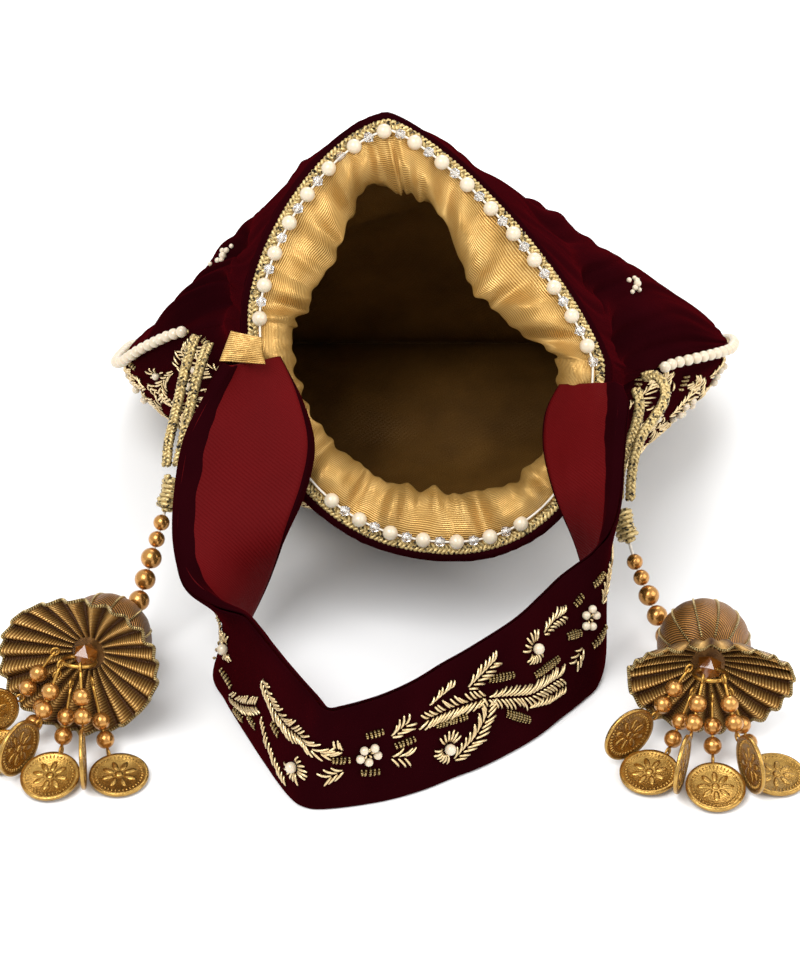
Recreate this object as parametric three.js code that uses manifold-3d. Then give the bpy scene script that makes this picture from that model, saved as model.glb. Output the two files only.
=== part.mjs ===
// Potli bag: a velvet drawstring pouch lying on its embroidered front panel with its mouth open,
// a flat velvet handle, and two drawstring tassels with pleated skirts, beads and coins.
// Millimetres, +Z up. The mouth faces -Y and upwards.

import * as THREE from 'three';
import { mergeVertices } from 'three/addons/utils/BufferGeometryUtils.js';
import Module from 'manifold-3d';

const wasm = await Module();
wasm.setup();

// Driving dimensions

const GAP = 0.3;
const VELVET = 1.6;
const LINING = 1.0;
const FACING = 1.2;
const FACING_DEPTH = 25;
const NECK_FOLDS = 20;
const FOLD_HEIGHT = 1.8;
const FLOOR_EASE = 4;
const BRAID_WIDTH = 3.4;
const BRAID_THICK = 1.6;
const PEARL_R = 2.5;
const PEARL_PITCH = 5.2;
const MOUTH_PEARL_PITCH = 10.5;
const THREAD_R = 0.6;
const SATIN = 0.8;
const SATIN_INSET = 0.06;
const CORD_R = 1.6;
const CHANNEL_CORD_R = 1.4;
const BALL_R = 14.6;
const SKIRT_R = 25;
const SKIRT_REACH = 25.2;
const SKIRT_WALL = 0.9;
const SKIRT_PLEATS = 22;
const PLEAT_HEIGHT = 1.5;
const HUB_R = 5;
const HUB_WIRE_R = 0.8;
const HUB_REACH = 24.5;
const WIRE_R = 0.6;
const WIRE_REACH = 12;
const TRIM_BEAD_R = 2.8;
const COIN_R = 9;
const COIN_THICK = 1.2;
const COIN_LINK = 1.0;
const DANGLER_FAN = THREE.MathUtils.degToRad(19);

// The bag is set out with its mouth near x = 0; this moves its footprint over the origin.
const SET_OUT = new THREE.Vector3(-2.3, 14.2, 0);

// Sections of the bag from the mouth edge to the bottom seam. Each has its centre (x, y, z), the
// backward lean of its up direction in degrees, half width, rise above and drop below the side
// seams, the roundness of the upper and lower half (1 diamond, 2 ellipse), the sideways tilt of
// the seam line and the sideways lean of the top.
const SECTIONS = [
  {
    x: 1.6, y: -20, z: 92, lean: 35, wide: 58, rise: 72, drop: 68,
    up: 1.4, low: 2.2, tilt: -0.12, top: -0.17,
  },
  {
    x: 1.4, y: -9, z: 84, lean: 35, wide: 62.5, rise: 70, drop: 65,
    up: 1.6, low: 2.1, tilt: -0.12, top: -0.12,
  },
  {
    x: 1.2, y: 3, z: 75, lean: 34, wide: 65, rise: 63, drop: 60,
    up: 1.85, low: 2.0, tilt: -0.11, top: -0.07,
  },
  {
    x: 1.6, y: 22, z: 63, lean: 30, wide: 87, rise: 62, drop: 63,
    up: 1.5, low: 1.75, tilt: -0.03, top: -0.03,
  },
  {
    x: 2.6, y: 42, z: 48.5, lean: 24, wide: 102.5, rise: 59, drop: 54,
    up: 1.28, low: 1.6, tilt: 0.025, top: 0,
  },
  {
    x: 2.4, y: 68, z: 35, lean: 14, wide: 105.5, rise: 51, drop: 45,
    up: 1.32, low: 1.7, tilt: 0.03, top: 0,
  },
  {
    x: 2, y: 92, z: 22, lean: 4, wide: 104.5, rise: 33, drop: 30,
    up: 1.5, low: 1.9, tilt: 0.01, top: 0,
  },
  {
    x: 1, y: 108, z: 12, lean: 0, wide: 99, rise: 1.7, drop: 1.7,
    up: 2, low: 2, tilt: 0, top: 0,
  },
];
const NECK = 2 / 7;

// Handle edges from the left sewn end, forward to the floor, across the front and back up to the
// right sewn end. The band turns over on each side: its backing faces up near the mouth, and its
// velvet face looks outwards where it stands on its lower edge.
const HANDLE_UPPER = [
  [-60.5, -37, 95], [-67.5, -39.5, 83], [-73.5, -45, 72], [-76.5, -53.5, 57.5], [-76.5, -64, 46],
  [-72, -78.5, 42], [-62.5, -88.5, 42], [-53.5, -92.5, 41.5], [-49, -98.5, 41], [-45.5, -104, 40],
  [-38.5, -116.5, 40], [-31.5, -128, 40], [-27.5, -134.5, 40], [-22.5, -133, 39.5],
  [-12.5, -128.5, 39.5], [-3, -122, 39.5], [5.5, -114, 39.5], [14, -106.5, 39.5], [27.5, -93, 39.5],
  [36.5, -80.5, 39.5], [42, -73.5, 40.5], [47, -70, 42.5], [52.5, -69, 47], [56.5, -70, 55],
  [59, -68.5, 64.5], [60.5, -61.5, 75], [61.5, -53.5, 82.5], [62.5, -46, 86.5], [61.5, -38.5, 88],
];
const HANDLE_LOWER = [
  [-44, -25.5, 89.2], [-37.5, -35, 83], [-33, -46, 72.5], [-35, -54.5, 62], [-41, -62, 49],
  [-48, -60, 29], [-56.5, -64, 13], [-64, -72.5, 2], [-60, -83, 0], [-54.5, -95.5, 0],
  [-46.5, -112.5, 0], [-39.5, -126, 0], [-34.5, -131.5, 0], [-27, -132, 0],
  [-12.5, -129, 0], [-1, -124.5, 0], [8.5, -119, 0], [19, -113, 0], [33, -102, 0],
  [43, -91, 0], [49.5, -83.5, 0], [54.5, -76.5, 0.5], [57, -67, 5], [55.5, -58, 18],
  [50, -54, 35], [42, -55.5, 56], [38.5, -41, 64], [39, -31.5, 72], [43.5, -26, 79.5],
];

// Two drawstring strands on each side, from the channel exit down to the wrapped knot.
const STRANDS = {
  left_drawstring_a: [
    [-68, -1, 80], [-70, -8, 77], [-71.5, -13, 73.5], [-73, -18, 68.5], [-74.5, -23, 63.5],
    [-76, -27, 57.5], [-77.5, -30.2, 52.2],
  ],
  left_drawstring_b: [
    [-72.5, 3, 80], [-74.5, -4, 76.5], [-76, -9, 72], [-77.5, -14, 66.5], [-79, -19, 61.5],
    [-80.5, -24.2, 56.5], [-81, -28.7, 51.2],
  ],
  right_drawstring_a: [
    [72.5, 1.4, 65.2], [76, 0, 67], [79, -4, 65.5], [78.5, -9, 62.5], [75, -14, 59.5], [71, -19, 56],
    [68.5, -24, 51], [67.5, -28, 45], [67.3, -31, 39.5],
  ],
  right_drawstring_b: [
    [69.5, -6, 65.5], [70.5, -11, 63], [69.5, -15, 59], [67.5, -19, 54.5], [65, -23, 49.5],
    [63.8, -27, 44.5], [63.6, -31, 39.5],
  ],
};

// Each tassel: knot, the line of beads that follows it, ball centre, mouth direction of the skirt,
// how flat the skirt is squashed below and above, and the direction that its danglers fan around.
const TASSELS = {
  left: {
    knot: [-79.8, -35.8, 44.8], beads: [[-82.4, -41.3, 37.9], [-88.4, -55.5, 21.6]],
    ball: [-98.8, -72.6, 15.4], mouth: [-0.22, -0.9, 0.37], squash: 0.9, crown: 0.76,
    fan: [-0.26, -1, 0],
  },
  right: {
    knot: [65.6, -35, 31.8], beads: [[68.7, -42.5, 23.2], [77, -58.5, 9]],
    ball: [88.2, -75.2, 15.4], mouth: [-0.03, -0.95, 0.29], squash: 0.72, crown: 0.36,
    fan: [0, -1, 0],
  },
};

// Height and face of each coin across the fan: flat coins lie on the floor between upright ones.
const COINS = [
  { upright: true, rise: 9.9, slope: 0.3 },
  { upright: false, rise: 2.4, slope: 0.12 },
  { upright: true, rise: 9.9, slope: 0.3 },
  { upright: false, rise: 3.0, slope: 0.2 },
  { upright: true, rise: 9.9, slope: 0.3 },
  { upright: false, rise: 1.6, slope: 0.05 },
];

// Materials

const finish = (color, roughness, metalness = 0) =>
  new THREE.MeshStandardMaterial({ color, roughness, metalness });
const velvet = finish('#3d0c0d', 0.9);
const satin = finish('#5c0e0c', 0.55);
const goldTissue = finish('#c5a156', 0.45, 0.3);
const goldBraid = finish('#b08d4c', 0.5, 0.4);
const pearl = finish('#d7cec1', 0.25);
const goldBead = finish('#b06a2a', 0.25, 0.8);
const goldFoil = finish('#9a6c2e', 0.4, 0.6);
const brass = finish('#c49a58', 0.35, 0.9);

// Helpers

const vec = (p) => new THREE.Vector3(p[0], p[1], p[2]);
const lerp = THREE.MathUtils.lerp;
const group = new THREE.Group();

function addPiece(name, geometry, material) {
  const mesh = new THREE.Mesh(geometry, material);
  mesh.name = name;
  group.add(mesh);
  return mesh;
}

// Moves every corner of a plain geometry to the place that a function gives for it.
function reshape(geometry, place) {
  const position = geometry.attributes.position;
  const p = new THREE.Vector3();
  for (let i = 0; i < position.count; i += 1) {
    p.fromBufferAttribute(position, i);
    const q = place(p);
    position.setXYZ(i, q.x, q.y, q.z);
  }
  geometry.computeVertexNormals();
  return geometry;
}

// A smooth curve through evenly spaced values, read at t from 0 to 1.
function smooth(values, t) {
  const last = values.length - 1;
  const f = THREE.MathUtils.clamp(t, 0, 1) * last;
  const i = Math.min(Math.floor(f), last - 1);
  const k = f - i;
  const p1 = values[i];
  const p2 = values[i + 1];
  const p0 = values[Math.max(i - 1, 0)];
  const p3 = values[Math.min(i + 2, last)];
  const slope1 = (p2 - p0) / 2;
  const slope2 = (p3 - p1) / 2;
  const rise = p2 - p1;
  const bend = 3 * rise - 2 * slope1 - slope2;
  const twist = slope1 + slope2 - 2 * rise;
  return p1 + k * (slope1 + k * (bend + k * twist));
}

const section = (key, s) => smooth(SECTIONS.map((item) => item[key]), s);
const signedPower = (v, power) => Math.sign(v) * Math.abs(v) ** power;

// Cloth that would sink below a level flattens softly onto it.
function restOn(level, z) {
  const h = z - level;
  if (h > FLOOR_EASE) return z;
  if (h < -FLOOR_EASE) return level;
  return level + (h + FLOOR_EASE) ** 2 / (4 * FLOOR_EASE);
}

// Gathers are deepest at the drawstring neck and fade towards the mouth and the belly.
function gather(s, angle) {
  const away = (s - NECK) / (s < NECK ? 0.16 : 0.2);
  return FOLD_HEIGHT * Math.exp(-away * away) * Math.cos(NECK_FOLDS * angle);
}

// A point of the bag wall: s runs from mouth to bottom, the angle starts at the right side seam and
// goes over the back panel, inset is the depth below the velvet's face.
function bagPoint(s, angle, inset, folds = 1) {
  const upper = Math.sin(angle) >= 0;
  const power = 2 / section(upper ? 'up' : 'low', s);
  const across = signedPower(Math.cos(angle), power);
  const height = signedPower(Math.sin(angle), power);
  const depth = inset - folds * gather(s, angle);
  const wide = Math.max(section('wide', s) - depth, 0.1);
  const tall = Math.max(section(upper ? 'rise' : 'drop', s) - depth, 0.1);
  const lean = THREE.MathUtils.degToRad(section('lean', s));
  const side = across * wide + Math.max(height, 0) * tall * section('top', s);
  const up = height * tall + across * wide * section('tilt', s);
  return new THREE.Vector3(
    section('x', s) + side,
    section('y', s) + up * Math.sin(lean),
    restOn(inset, section('z', s) + up * Math.cos(lean)),
  );
}

// Direction into the bag at the mouth.
const MOUTH_LEAN = THREE.MathUtils.degToRad(SECTIONS[0].lean);
const INWARD = new THREE.Vector3(0, Math.cos(MOUTH_LEAN), -Math.sin(MOUTH_LEAN));

function solidOf(geometry) {
  const bare = geometry.clone();
  bare.deleteAttribute('normal');
  bare.deleteAttribute('uv');
  const merged = mergeVertices(bare, 1e-4);
  const vertProperties = new Float32Array(merged.attributes.position.array);
  const triVerts = new Uint32Array(merged.index.array);
  return new wasm.Manifold(new wasm.Mesh({ numProp: 3, vertProperties, triVerts }));
}

function fuse(geometries) {
  const solids = geometries.map(solidOf);
  const whole = solids.reduce((sum, solid) => sum.add(solid));
  const mesh = whole.getMesh();
  const geometry = new THREE.BufferGeometry();
  geometry.setAttribute('position', new THREE.BufferAttribute(new Float32Array(mesh.vertProperties), 3));
  geometry.setIndex(new THREE.BufferAttribute(new Uint32Array(mesh.triVerts), 1));
  geometry.computeVertexNormals();
  return geometry;
}

function tubeAlong(points, radius, sides, steps, closed = false) {
  const path = new THREE.CatmullRomCurve3(points, closed);
  const outline = new THREE.Shape();
  outline.absarc(0, 0, radius, 0, 2 * Math.PI, false);
  return new THREE.ExtrudeGeometry(outline, {
    steps, curveSegments: sides / 2, bevelEnabled: false, extrudePath: path,
  });
}

// Radius of a bead string at each of its rings: thread, bead, bead, thread, over and over.
const BEAD_RINGS = [-0.99, -0.5, 0.5, 0.99];

// Where ring k of a string lies along it, and how thick the string is there.
function beadRing(k, count, length, pitch, isBead) {
  const bead = Math.min(Math.floor(k / 4), count - 1);
  const place = BEAD_RINGS[k % 4];
  const shoulder = Math.abs(place) < 0.9 && isBead(bead);
  return {
    at: ((bead + 0.5) * pitch + place * PEARL_R) / length,
    radius: shoulder ? PEARL_R * 0.9 : THREAD_R,
  };
}

// Velvet panels

function panel(upper) {
  const lift = upper ? GAP / 2 + 0.05 : -GAP / 2 - 0.05;
  return reshape(new THREE.BoxGeometry(1, 1, 1, 28, 14, 1), (p) => {
    const turn = (upper ? p.x + 0.5 : p.x - 0.5) * Math.PI;
    const inset = (0.5 - p.z) * VELVET;
    const q = bagPoint(0.5 - p.y, turn, inset);
    q.z += q.z > FLOOR_EASE || upper ? lift : 0;
    return q;
  });
}

addPiece('back_panel', panel(true), velvet);
addPiece('front_panel', panel(false), velvet);

// Lining pouch inside the panels, from the neck to just short of the bottom seam

const LINING_START = 2.35 / 7;
const LINING_END = 6.25 / 7;
const LINING_INSET = VELVET + 2.7;

function liningPouch() {
  const rows = [0, 0.2, 0.4, 0.6, 0.8, 1];
  const outer = rows.map((t) => new THREE.Vector2(2, lerp(LINING_START, LINING_END, t)));
  const inner = rows.map((t) => new THREE.Vector2(1, lerp(LINING_START, LINING_END, t)));
  const profile = [new THREE.Vector2(0, 2), ...outer.reverse(), ...inner, new THREE.Vector2(0, 1)];
  return reshape(new THREE.LatheGeometry(profile, 36), (p) => {
    const radius = Math.hypot(p.x, p.z);
    if (radius < 0.5) {
      const right = bagPoint(LINING_END, 0, 0, 0);
      const end = bagPoint(LINING_END, Math.PI, 0, 0).lerp(right, 0.5);
      end.y += p.y > 1.5 ? LINING : 0;
      return end;
    }
    const inset = radius > 1.5 ? LINING_INSET : LINING_INSET + LINING;
    return bagPoint(p.y, Math.atan2(p.x, p.z), inset, 0);
  });
}

addPiece('bag_lining', liningPouch(), goldTissue);

// Gold tissue facing inside the collar: a funnel with a wavy inner edge

function facingPoint(t, angle, layer) {
  const rim = bagPoint(0, angle, VELVET + 0.5, 0);
  const centre = new THREE.Vector3(3, -20, 92);
  const wave = 1 + 0.04 * t * Math.cos(5 * angle + 0.6);
  const narrow = lerp(1, 0.78, t * t * (3 - 2 * t)) * wave;
  const spread = rim.sub(centre);
  const shrink = 1 - (layer * FACING) / spread.length();
  return centre.addScaledVector(spread, narrow * shrink).addScaledVector(INWARD, t * FACING_DEPTH);
}

function ring(rows, segments, place) {
  const outer = rows.map((t) => new THREE.Vector2(2, t));
  const inner = rows.map((t) => new THREE.Vector2(1, t));
  const profile = [...outer.reverse(), ...inner, new THREE.Vector2(2, rows[rows.length - 1])];
  return reshape(new THREE.LatheGeometry(profile, segments), (p) => {
    const layer = Math.hypot(p.x, p.z) > 1.5 ? 0 : 1;
    return place(p.y, Math.atan2(p.x, p.z), layer);
  });
}

addPiece('gold_facing', ring([0, 0.3, 0.65, 1], 40, facingPoint), goldTissue);

// Braid on the mouth edge and the pearls threaded along it

function braidPoint(t, angle, layer) {
  const q = bagPoint(0, angle, layer * BRAID_WIDTH - GAP, 0);
  return q.addScaledVector(INWARD, -GAP - (1 - t) * BRAID_THICK);
}

addPiece('mouth_braid', ring([0, 1], 40, braidPoint), goldBraid);

// True where the handle covers the mouth edge on the left or the right.
function underHandle(point) {
  const left = point.x < -30 && point.z < 97;
  const right = point.x > 34 && point.z < 88;
  return left || right;
}

function mouthPearls() {
  const points = [];
  const forward = GAP + PEARL_R + BRAID_THICK - 0.6;
  for (let i = 0; i < 60; i += 1) {
    const angle = (i / 60) * 2 * Math.PI;
    points.push(bagPoint(0, angle, VELVET + 2.6, 0).addScaledVector(INWARD, -forward));
  }
  const loop = new THREE.CatmullRomCurve3(points, true);
  const length = loop.getLength();
  const count = Math.round(length / MOUTH_PEARL_PITCH);
  const pitch = length / count;
  const isBead = (bead) => !underHandle(loop.getPointAt((bead + 0.5) / count));
  return reshape(new THREE.TorusGeometry(1, 0.1, 5, 4 * count), (p) => {
    const turn = Math.atan2(p.y, p.x) / (2 * Math.PI);
    const k = Math.round(((turn + 1) % 1) * 4 * count) % (4 * count);
    const { at, radius } = beadRing(k, count, length, pitch, isBead);
    const place = loop.getPointAt(at);
    const along = loop.getTangentAt(at);
    const out = new THREE.Vector3().crossVectors(along, INWARD).normalize();
    const away = (Math.hypot(p.x, p.y) - 1) * 10 * radius;
    return place.addScaledVector(out, away).addScaledVector(INWARD, p.z * 10 * radius);
  });
}

addPiece('mouth_pearl_string', mouthPearls(), pearl);

// Pearl piping along the left and the right side seam

const PIPING_START = 2.5 / 7;
const PIPING_END = 0.97;

function seamPearls(angle) {
  const points = [];
  for (let i = 0; i <= 12; i += 1) {
    const s = lerp(PIPING_START, PIPING_END, i / 12);
    points.push(bagPoint(s, angle, -PEARL_R - 2 * GAP));
  }
  const curve = new THREE.CatmullRomCurve3(points);
  const length = curve.getLength();
  const count = Math.floor(length / PEARL_PITCH);
  const rings = 4 * count - 1;
  const up = new THREE.Vector3(0, 0, 1);
  return reshape(new THREE.CylinderGeometry(1, 1, 1, 5, rings), (p) => {
    const k = Math.round((p.y + 0.5) * rings);
    const { at, radius } = beadRing(k, count, length, PEARL_PITCH, () => true);
    const along = curve.getTangentAt(at);
    const out = new THREE.Vector3().crossVectors(along, up).normalize();
    const over = new THREE.Vector3().crossVectors(out, along);
    return curve.getPointAt(at).addScaledVector(out, p.x * radius).addScaledVector(over, p.z * radius);
  });
}

addPiece('left_seam_pearls', seamPearls(Math.PI), pearl);
addPiece('right_seam_pearls', seamPearls(0), pearl);

// Handle: a velvet band with a narrower satin backing on its inner side

const upperEdge = new THREE.CatmullRomCurve3(HANDLE_UPPER.map(vec));
const lowerEdge = new THREE.CatmullRomCurve3(HANDLE_LOWER.map(vec));

function handlePoint(t, across, lift) {
  const step = 0.004;
  const at = (time) => {
    const safe = THREE.MathUtils.clamp(time, 0, 1);
    return upperEdge.getPoint(safe).lerp(lowerEdge.getPoint(safe), across);
  };
  const along = at(t + step).sub(at(t - step));
  const width = lowerEdge.getPoint(t).sub(upperEdge.getPoint(t));
  const normal = along.cross(width).normalize();
  const q = at(t).addScaledVector(normal, lift);
  q.z = Math.max(q.z, 0);
  return q;
}

function band(inset, low, high, length, columns) {
  return reshape(new THREE.BoxGeometry(1, 1, 1, length, columns, 1), (p) => {
    const t = p.x + 0.5;
    const across = lerp(inset, 1 - inset, p.y + 0.5);
    return handlePoint(t, across, lerp(low, high, p.z + 0.5));
  });
}

addPiece('handle_velvet', band(0, -VELVET - 2 * GAP, -2 * GAP, 56, 3), velvet);
addPiece('handle_satin', band(SATIN_INSET, 2 * GAP, 2 * GAP + SATIN, 56, 3), satin);

// Drawstrings: a loop round the channel for each side, and two strands that hang from it

function channelLoop(s) {
  const points = [];
  for (let i = 0; i < 24; i += 1) {
    points.push(bagPoint(s, (i / 24) * 2 * Math.PI, VELVET + CHANNEL_CORD_R + 2.4, 0));
  }
  return new THREE.CatmullRomCurve3(points, true);
}

function channelCord(s) {
  const loop = channelLoop(s);
  return reshape(new THREE.TorusGeometry(1, 0.1, 5, 28), (p) => {
    const turn = Math.atan2(p.y, p.x) / (2 * Math.PI);
    const place = loop.getPointAt((turn + 1) % 1);
    const centre = new THREE.Vector3(0, place.y, 75);
    const out = place.clone().sub(centre).setY(0).normalize();
    const away = (Math.hypot(p.x, p.y) - 1) * 10 * CHANNEL_CORD_R;
    return place.addScaledVector(out, away).addScaledVector(INWARD, -p.z * 10 * CHANNEL_CORD_R);
  });
}

addPiece('left_channel_cord', channelCord(1.5 / 7), goldBraid);
addPiece('right_channel_cord', channelCord(1.95 / 7), goldBraid);

for (const [name, points] of Object.entries(STRANDS)) {
  addPiece(name, tubeAlong(points.map(vec), CORD_R, 8, 12), goldBraid);
}

// Tassels

// Turns a geometry made along +Y so that it points along a direction, and sets it at a place.
function aim(geometry, direction, place) {
  const turn = new THREE.Quaternion().setFromUnitVectors(new THREE.Vector3(0, 1, 0), direction);
  return geometry.applyQuaternion(turn).translate(place.x, place.y, place.z);
}

// Wrapped knot along +Y, widest near the strands and thin at the beads.
function knotGeometry() {
  const profile = [
    [0, -6], [3.2, -6], [3.8, -3.5], [3.2, -1], [3.7, 1.5], [3.3, 4], [1.4, 5.6], [0, 5.6],
  ];
  return new THREE.LatheGeometry(profile.map(([r, h]) => new THREE.Vector2(r, h)), 10);
}

// Height of the skirt's rim along its axis and its radius, t from 0 at the ball to 1 at the rim.
function skirtPoint(tassel, axis, side, up, t, angle, layer) {
  const flare = t ** 1.25;
  const pleat = PLEAT_HEIGHT * (0.3 + 0.7 * t) * Math.cos(SKIRT_PLEATS * angle);
  const radius = lerp(5.2, SKIRT_R, flare);
  const wall = layer * SKIRT_WALL;
  const reach = lerp(BALL_R + 1.2, SKIRT_REACH, t) + pleat;
  const q = vec(tassel.ball).addScaledVector(axis, reach);
  q.addScaledVector(side, (radius - wall) * Math.cos(angle));
  const tall = Math.sin(angle) > 0 ? tassel.crown : tassel.squash;
  q.addScaledVector(up, (radius * lerp(1, tall, t) - wall) * Math.sin(angle));
  q.z = restOn(GAP + wall, q.z);
  return q;
}

function addTassel(hand, tassel) {
  const axis = vec(tassel.mouth).normalize();
  const side = new THREE.Vector3().crossVectors(axis, new THREE.Vector3(0, 0, 1)).normalize();
  const up = new THREE.Vector3().crossVectors(side, axis).normalize();
  const ball = vec(tassel.ball);

  const [start, end] = tassel.beads.map(vec);
  const knot = vec(tassel.knot);
  const hang = start.clone().sub(knot).normalize();
  addPiece(`${hand}_knot`, aim(knotGeometry(), hang, knot), goldBraid);

  const radii = [2.75, 2.75, 3.5, 3.5, 3.5];
  const line = end.clone().sub(start).normalize();
  let run = 0;
  radii.forEach((radius, i) => {
    const place = start.clone().addScaledVector(line, run);
    const bead = new THREE.SphereGeometry(radius - GAP / 2, 8, 6);
    bead.translate(place.x, place.y, place.z);
    addPiece(`${hand}_cord_bead_${i + 1}`, bead, goldBead);
    run += radius + (radii[i + 1] ?? 0);
  });

  const dome = new THREE.SphereGeometry(BALL_R, 14, 9);
  addPiece(`${hand}_tassel_ball`, aim(dome, axis, ball), goldFoil);

  const place = (t, angle, layer) => skirtPoint(tassel, axis, side, up, t, angle, layer);
  addPiece(`${hand}_tassel_skirt`, ring([0, 0.5, 1], 2 * SKIRT_PLEATS, place), goldFoil);

  const hub = ball.clone().addScaledVector(axis, HUB_REACH);
  const stem = new THREE.CylinderGeometry(1, 1, HUB_REACH - HUB_R - BALL_R - GAP, 8);
  const stemPlace = ball.clone().addScaledVector(axis, (HUB_REACH - HUB_R + BALL_R + GAP) / 2);
  const loop = new THREE.TorusGeometry(HUB_R, HUB_WIRE_R, 6, 18);
  const flat = new THREE.Matrix4().makeBasis(side, axis, up).setPosition(hub);
  addPiece(`${hand}_hub_ring`, fuse([loop.applyMatrix4(flat), aim(stem, axis, stemPlace)]), brass);

  COINS.forEach((coin, i) => addDangler(hand, i, coin, hub, vec(tassel.fan).normalize()));
}

// A wire with two beads from the hub ring to an eye, and the coin that hangs on the eye.
function addDangler(hand, i, coin, hub, front) {
  const up = new THREE.Vector3(0, 0, 1);
  const fan = (i - 3) * DANGLER_FAN;
  const outward = front.clone().applyAxisAngle(up, fan);
  const hinge = new THREE.Vector3().crossVectors(outward, up).normalize();
  const start = hub.clone().addScaledVector(front.clone().applyAxisAngle(up, 1.4 * fan), HUB_R + 2);
  start.z += coin.upright ? 3.5 : -3;

  const eye = start.clone().addScaledVector(outward, WIRE_REACH);
  eye.z = coin.rise + coin.slope * (COIN_R + COIN_LINK);
  const along = eye.clone().sub(start).normalize();
  const length = eye.distanceTo(start);
  const dangler = addPiece(`${hand}_dangler_${i + 1}`, aim(beadedWire(length), along, start), goldBead);
  dangler.userData.hinge = { point: start, axis: hinge };

  const drop = new THREE.Vector3(0, 0, coin.rise - eye.z);
  const toward = outward.clone().multiplyScalar(COIN_R + COIN_LINK).add(drop).normalize();
  const centre = eye.clone().addScaledVector(toward, COIN_R + COIN_LINK);
  const face = coin.upright ? hinge.clone() : new THREE.Vector3().crossVectors(hinge, toward).normalize();
  const disc = new THREE.CylinderGeometry(COIN_R, COIN_R, COIN_THICK, 18);
  const piece = addPiece(`${hand}_coin_${i + 1}`, aim(disc, face, centre), brass);
  piece.userData.hinge = { point: eye, axis: hinge };
}

// A wire along +Y that carries two beads near its far end.
function beadedWire(length) {
  const profile = [[0, 0], [WIRE_R, 0]];
  for (const back of [10.2, 4.3]) {
    const middle = length - back;
    profile.push([WIRE_R, middle - TRIM_BEAD_R], [TRIM_BEAD_R * 0.88, middle - TRIM_BEAD_R / 2]);
    profile.push([TRIM_BEAD_R * 0.88, middle + TRIM_BEAD_R / 2], [WIRE_R, middle + TRIM_BEAD_R]);
  }
  profile.push([WIRE_R, length], [0, length]);
  return new THREE.LatheGeometry(profile.map(([r, h]) => new THREE.Vector2(r, h)), 7);
}

for (const [hand, tassel] of Object.entries(TASSELS)) {
  addTassel(hand, tassel);
}

group.position.copy(SET_OUT);

export default group;
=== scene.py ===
"""A velvet potli bag lying open on its embroidered front panel.

The bag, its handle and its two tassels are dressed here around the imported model. Sizes of the
pieces are in millimetres, as a maker would measure them, and become metres when a mesh is placed.
"""

import logging
import math
from collections.abc import Callable, Iterable, Sequence
from dataclasses import dataclass, field
from enum import Enum
from random import Random

import bmesh
import bpy
from mathutils import Matrix, Quaternion, Vector, noise


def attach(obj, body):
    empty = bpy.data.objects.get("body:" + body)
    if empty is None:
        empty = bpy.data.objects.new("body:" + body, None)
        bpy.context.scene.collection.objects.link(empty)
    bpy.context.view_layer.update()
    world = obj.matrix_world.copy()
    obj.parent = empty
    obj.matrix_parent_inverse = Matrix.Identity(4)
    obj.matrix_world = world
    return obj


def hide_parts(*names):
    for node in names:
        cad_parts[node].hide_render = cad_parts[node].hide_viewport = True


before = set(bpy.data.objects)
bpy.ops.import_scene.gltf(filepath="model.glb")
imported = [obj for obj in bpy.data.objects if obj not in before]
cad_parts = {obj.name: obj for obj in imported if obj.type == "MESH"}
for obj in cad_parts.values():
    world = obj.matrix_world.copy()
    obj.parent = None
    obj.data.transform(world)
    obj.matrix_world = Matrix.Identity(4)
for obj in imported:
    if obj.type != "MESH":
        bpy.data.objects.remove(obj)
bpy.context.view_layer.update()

LOG = logging.getLogger("potli_bag")
MM = 0.001
BAG = "bag"
UP = Vector((0.0, 0.0, 1.0))
# The bag is set out with its mouth near x = 0; this moves its footprint over the origin.
SET_OUT = Vector((-2.3, 14.2, 0.0))


# Materials


def linear(hex_colour: str, alpha: float = 1.0) -> tuple[float, float, float, float]:
    """Turn an sRGB hex colour into linear light.

    Args:
        hex_colour: Colour as "#rrggbb".
        alpha: Opacity of the colour.

    Returns:
        Linear red, green, blue and alpha.
    """
    parts = [int(hex_colour[i : i + 2], 16) / 255 for i in (1, 3, 5)]
    red, green, blue = (
        c / 12.92 if c <= 0.04045 else ((c + 0.055) / 1.055) ** 2.4 for c in parts
    )
    return red, green, blue, alpha


def add_node(
    tree: bpy.types.NodeTree,
    kind: str,
    inputs: dict[str | int, object] | None = None,
    **settings: object,
) -> bpy.types.Node:
    """Add one node, set it up and link it.

    Args:
        tree: Node tree that takes the node.
        kind: Blender's name for the node type.
        inputs: Socket name or number to a value, or to the output socket that feeds it.
        **settings: Properties of the node itself.

    Returns:
        The new node.
    """
    node = tree.nodes.new(kind)
    for name, value in settings.items():
        setattr(node, name, value)
    for socket, value in (inputs or {}).items():
        if isinstance(value, bpy.types.NodeSocket):
            tree.links.new(value, node.inputs[socket])
        else:
            node.inputs[socket].default_value = value
    return node


class Pattern(Enum):
    """What runs over a surface besides its grain."""

    PLAIN = "plain"
    TWILL = "slanted twill lines"
    COIL = "turns of wire along the second UV direction"
    FLECKS = "dark flecks between bright threads"


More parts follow.
